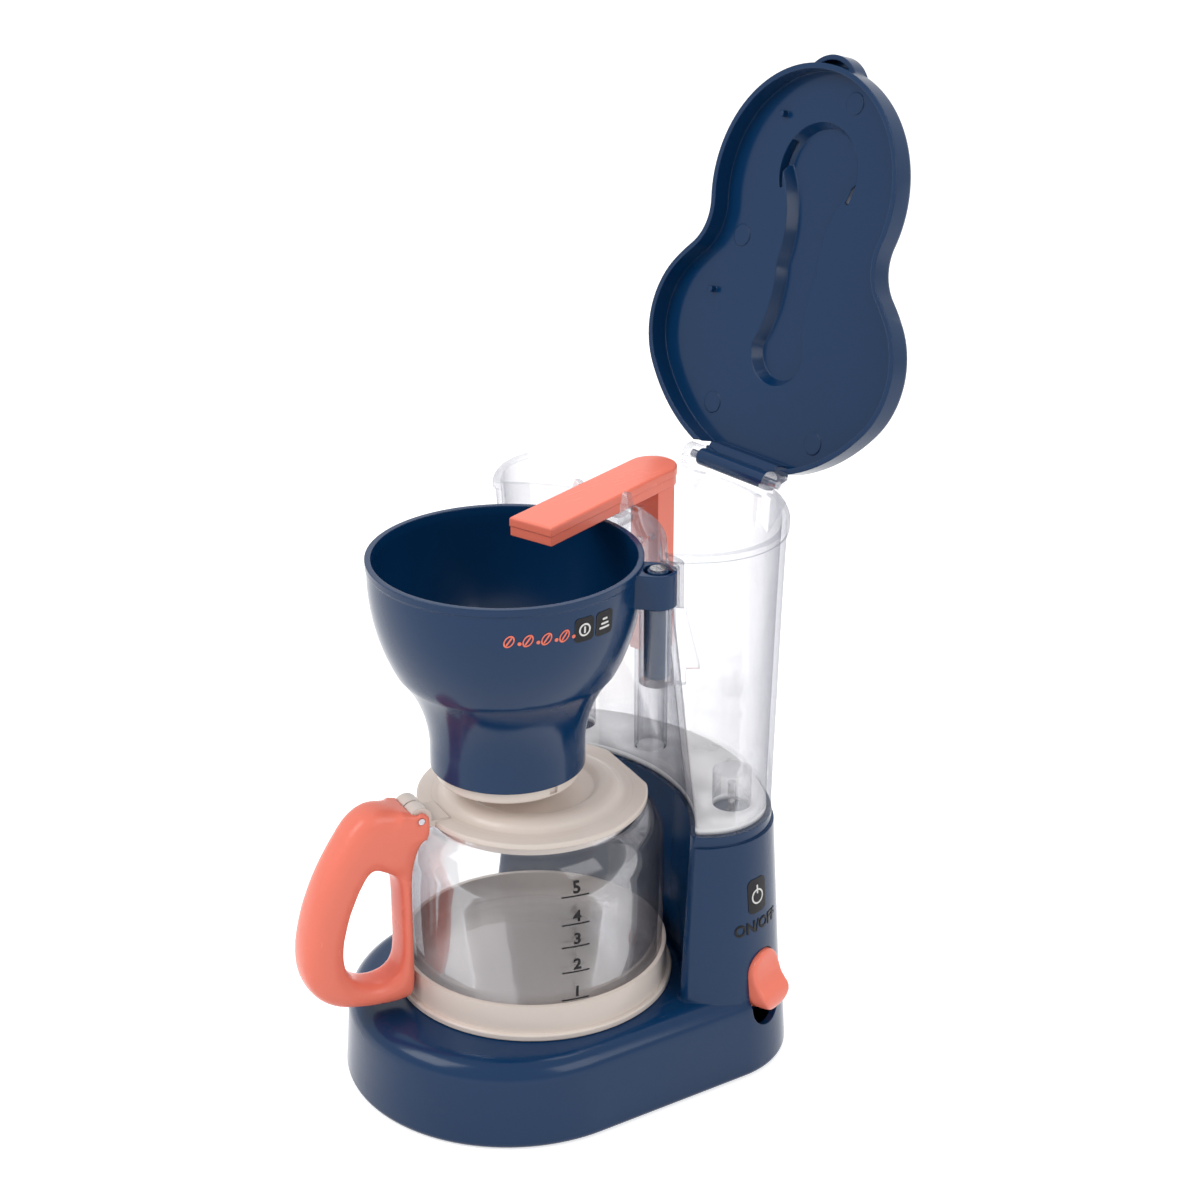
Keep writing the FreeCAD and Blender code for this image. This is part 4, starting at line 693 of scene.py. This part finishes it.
# The band's height, radius and lean on the funnel, and its turns in degrees from +X
BAND_Z = 188.5 * MM
BAND_R = 45.2 * MM
BAND_LEAN = -0.22
BAND_START = -37.0
BAND_STEP = 7.6
SIGN_TURNS = (-4.9, 5.6)
SIGN_RAISE = 0.6 * MM


class COFFEE_OT_funnel_band(bpy.types.Operator):
    """Printed motifs on the funnel: coral rings and bars, and two dark signs"""
    bl_idname = "coffee.funnel_band"
    bl_label = "Funnel Prints"

    def execute(self, context):
        prints = context.scene.coffee_print
        look = context.scene.coffee_finish
        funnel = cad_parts["funnel_shell"]
        coral = printed_ink("coral_ink", look.coral, 1.1)
        dark = printed_ink("sign_ink", look.ink)
        white = printed_ink("line_ink", LINE_WHITE, 1.05)
        for index in range(4):
            flat = bmesh.new()
            hoop(flat, 2.4 * MM, 0.6 * MM, squash=0.66)
            bar(flat, 0.55 * MM, 3.4 * MM, 0.25 * MM)
            bmesh.ops.rotate(flat, cent=(0, 0, 0), matrix=Matrix.Rotation(-0.6, 3, "Z"), verts=flat.verts)
            bar(flat, 1.3 * MM, 1.3 * MM, 0.6 * MM, at=(3.4 * MM, -0.9 * MM), slices=2)
            self.place(f"band_{index + 1}", flat, funnel, BAND_START + index * BAND_STEP, BAND_Z, LIFT,
                       coral)
        for index, turn in enumerate(SIGN_TURNS):
            flat = bmesh.new()
            bar(flat, 7.6 * MM, 8.6 * MM, 1.5 * MM, slices=8)
            self.place(f"sign_{index + 1}", flat, funnel, turn, BAND_Z + SIGN_RAISE, LIFT, dark)
            flat = bmesh.new()
            if index:
                for row, width in enumerate((2.2, 3.4, 4.6)):
                    bar(flat, width * MM, 0.7 * MM, 0.3 * MM, at=(0, (1.6 - 1.6 * row) * MM), slices=3)
            else:
                hoop(flat, 2.3 * MM, 0.6 * MM)
                bar(flat, 0.7 * MM, 2.4 * MM, 0.3 * MM, at=(0, 0))
            self.place(f"sign_{index + 1}_line", flat, funnel, turn, BAND_Z + SIGN_RAISE,
                       LIFT + prints.ink_thick, white)
        return {"FINISHED"}

    def place(self, name, flat, funnel, turn, level, lift, ink):
        prints = bpy.context.scene.coffee_print
        angle = math.radians(turn)
        out = Vector((math.cos(angle), math.sin(angle), BAND_LEAN)).normalized()
        centre = Vector((BAND_R * math.cos(angle), BAND_R * math.sin(angle), level))
        lay_on(name, flat, funnel, centre, out, lift, prints.ink_thick, ink, "funnel")


# Middles of the sign and of the word by the switch, in millimetres
SIGN_AT = (60, 63.7, 70.2)
WORD_AT = (60, 63.7, 58.6)


class COFFEE_OT_switch_sign(bpy.types.Operator):
    """Dark sign and plain ON/OFF above the switch"""
    bl_idname = "coffee.switch_sign"
    bl_label = "Switch Sign"

    def execute(self, context):
        prints = context.scene.coffee_print
        look = context.scene.coffee_finish
        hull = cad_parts["base_hull"]
        dark = printed_ink("switch_ink", look.ink)
        white = printed_ink("switch_line_ink", LINE_WHITE, 1.05)
        out = Vector((1, 0, 0.05)).normalized()
        flat = bmesh.new()
        bar(flat, 9.1 * MM, 13.4 * MM, 2.3 * MM, slices=8)
        self.place("switch_sign", flat, hull, SIGN_AT, out, LIFT, dark)
        flat = bmesh.new()
        hoop(flat, 2.9 * MM, 0.6 * MM, at=(0, -0.4 * MM))
        bar(flat, 0.7 * MM, 3.4 * MM, 0.3 * MM, at=(0, 2.4 * MM))
        self.place("switch_sign_line", flat, hull, SIGN_AT, out, LIFT + prints.ink_thick, white)
        flat = bmesh.new()
        lettering(flat, prints.switch_word, prints.switch_size, at=(0, -0.5 * prints.switch_size))
        self.place("switch_word", flat, hull, WORD_AT, out, LIFT, dark)
        return {"FINISHED"}

    def place(self, name, flat, hull, centre, out, lift, ink):
        prints = bpy.context.scene.coffee_print
        lay_on(name, flat, hull, Vector(centre) * MM, out, lift, prints.ink_thick, ink, "machine")


# Stage


def seen_ray(tree, strength):
    """Strength for camera, glossy and transmitted rays, and none for the light that falls on the object."""
    path = tree.nodes.new("ShaderNodeLightPath")
    total = path.outputs["Is Camera Ray"]
    for other in ("Is Glossy Ray", "Is Transmission Ray"):
        most = tree.nodes.new("ShaderNodeMath")
        most.operation = "MAXIMUM"
        join(tree, total, most.inputs[0])
        join(tree, path.outputs[other], most.inputs[1])
        total = most.outputs["Value"]
    scaled = tree.nodes.new("ShaderNodeMath")
    scaled.operation = "MULTIPLY"
    join(tree, total, scaled.inputs[0])
    scaled.inputs[1].default_value = strength
    return scaled.outputs["Value"]


def soft_lamp(name, place, aim, size, power):
    lamp = bpy.data.lights.new(name, "AREA")
    lamp.shape = "SQUARE"
    lamp.size = size
    lamp.energy = power
    holder = bpy.data.objects.new(name, lamp)
    holder.location = place
    holder.rotation_euler = (Vector(aim) - Vector(place)).to_track_quat("-Z", "Y").to_euler()
    bpy.context.scene.collection.objects.link(holder)


# Where the lamps point, how far the floor reaches and how far it lies below the object, in metres
LAMP_AIM = (0, 0.03, 0.15)
TOP_AIM = (0, 0.05, 0.15)
FLOOR_R = 9.0
FLOOR_DROP = 0.2 * MM


class COFFEE_OT_stage(bpy.types.Operator):
    """Pale floor, white backdrop, soft lamps and the camera"""
    bl_idname = "coffee.stage"
    bl_label = "Stage"

    def execute(self, context):
        scene = context.scene
        stage = scene.coffee_stage
        scene.view_settings.view_transform = "Standard"
        world = scene.world or bpy.data.worlds.new("studio")
        scene.world = world
        world.use_nodes = True
        tree = world.node_tree
        tree.nodes.clear()
        output = tree.nodes.new("ShaderNodeOutputWorld")
        even = add(tree, "ShaderNodeBackground", Color=(1.0, 1.0, 1.0, 1.0), Strength=stage.ambient)
        white = add(tree, "ShaderNodeBackground", Color=(1.0, 1.0, 1.0, 1.0), Strength=1.0)
        mix = tree.nodes.new("ShaderNodeMixShader")
        join(tree, seen_ray(tree, 1.0), mix.inputs[0])
        join(tree, even.outputs[0], mix.inputs[1])
        join(tree, white.outputs[0], mix.inputs[2])
        join(tree, mix.outputs[0], output.inputs["Surface"])

        ground = bmesh.new()
        bmesh.ops.create_circle(ground, cap_ends=True, segments=96, radius=FLOOR_R)
        mesh = bpy.data.meshes.new("floor")
        ground.to_mesh(mesh)
        ground.free()
        floor = bpy.data.objects.new("floor", mesh)
        floor.location.z = -FLOOR_DROP
        scene.collection.objects.link(floor)
        material = bpy.data.materials.new("floor")
        material.use_nodes = True
        tree = material.node_tree
        tree.nodes.clear()
        output = tree.nodes.new("ShaderNodeOutputMaterial")
        paper = add(tree, "ShaderNodeBsdfDiffuse", Color=(0.82, 0.82, 0.82, 1.0))
        glow = add(tree, "ShaderNodeEmission", Color=(1.0, 1.0, 1.0, 1.0))
        join(tree, seen_ray(tree, stage.floor_lift), glow.inputs["Strength"])
        both = tree.nodes.new("ShaderNodeAddShader")
        join(tree, paper.outputs[0], both.inputs[0])
        join(tree, glow.outputs[0], both.inputs[1])
        join(tree, both.outputs[0], output.inputs["Surface"])
        mesh.materials.append(material)

        soft_lamp("key", (-0.35, -1.15, 1.25), LAMP_AIM, 0.9, stage.key)
        soft_lamp("fill", (1.3, 0.2, 0.9), LAMP_AIM, 0.8, stage.fill)
        soft_lamp("top", (-0.2, 0.5, 1.4), TOP_AIM, 0.7, stage.fill)

        lens = bpy.data.cameras.new("camera")
        lens.lens = stage.lens
        lens.sensor_width = 36.0
        camera = bpy.data.objects.new("camera", lens)
        camera.location = stage.camera_at
        aim = Vector(stage.camera_aim) - Vector(stage.camera_at)
        camera.rotation_euler = aim.to_track_quat("-Z", "Y").to_euler()
        scene.collection.objects.link(camera)
        scene.camera = camera
        return {"FINISHED"}


STEPS = (COFFEE_OT_navy, COFFEE_OT_coral, COFFEE_OT_beige, COFFEE_OT_clear, COFFEE_OT_steel,
         COFFEE_OT_handle, COFFEE_OT_button, COFFEE_OT_tank_floor, COFFEE_OT_scale, COFFEE_OT_funnel_band,
         COFFEE_OT_switch_sign, COFFEE_OT_stage)
SETTINGS = {"coffee_finish": FinishSettings, "coffee_handle": HandleSettings, "coffee_print": PrintSettings,
            "coffee_stage": StageSettings}


class COFFEE_PT_panel(bpy.types.Panel):
    """The steps that dress the coffee maker, and their settings"""
    bl_idname = "COFFEE_PT_panel"
    bl_label = "Coffee Maker"
    bl_space_type = "VIEW_3D"
    bl_region_type = "UI"
    bl_category = "Coffee Maker"

    def draw(self, context):
        for step in STEPS:
            self.layout.operator(step.bl_idname)
        for name, group in SETTINGS.items():
            box = self.layout.box()
            for field in group.__annotations__:
                box.prop(getattr(context.scene, name), field)


def register():
    for item in (*SETTINGS.values(), *STEPS, COFFEE_PT_panel):
        bpy.utils.register_class(item)
    for name, group in SETTINGS.items():
        setattr(bpy.types.Scene, name, PointerProperty(type=group))


def unregister():
    for name in SETTINGS:
        delattr(bpy.types.Scene, name)
    for item in reversed((*SETTINGS.values(), *STEPS, COFFEE_PT_panel)):
        bpy.utils.unregister_class(item)


def main():
    register()
    for step in STEPS:
        family, verb = step.bl_idname.split(".")
        getattr(getattr(bpy.ops, family), verb)()


if __name__ == "__main__":
    main()
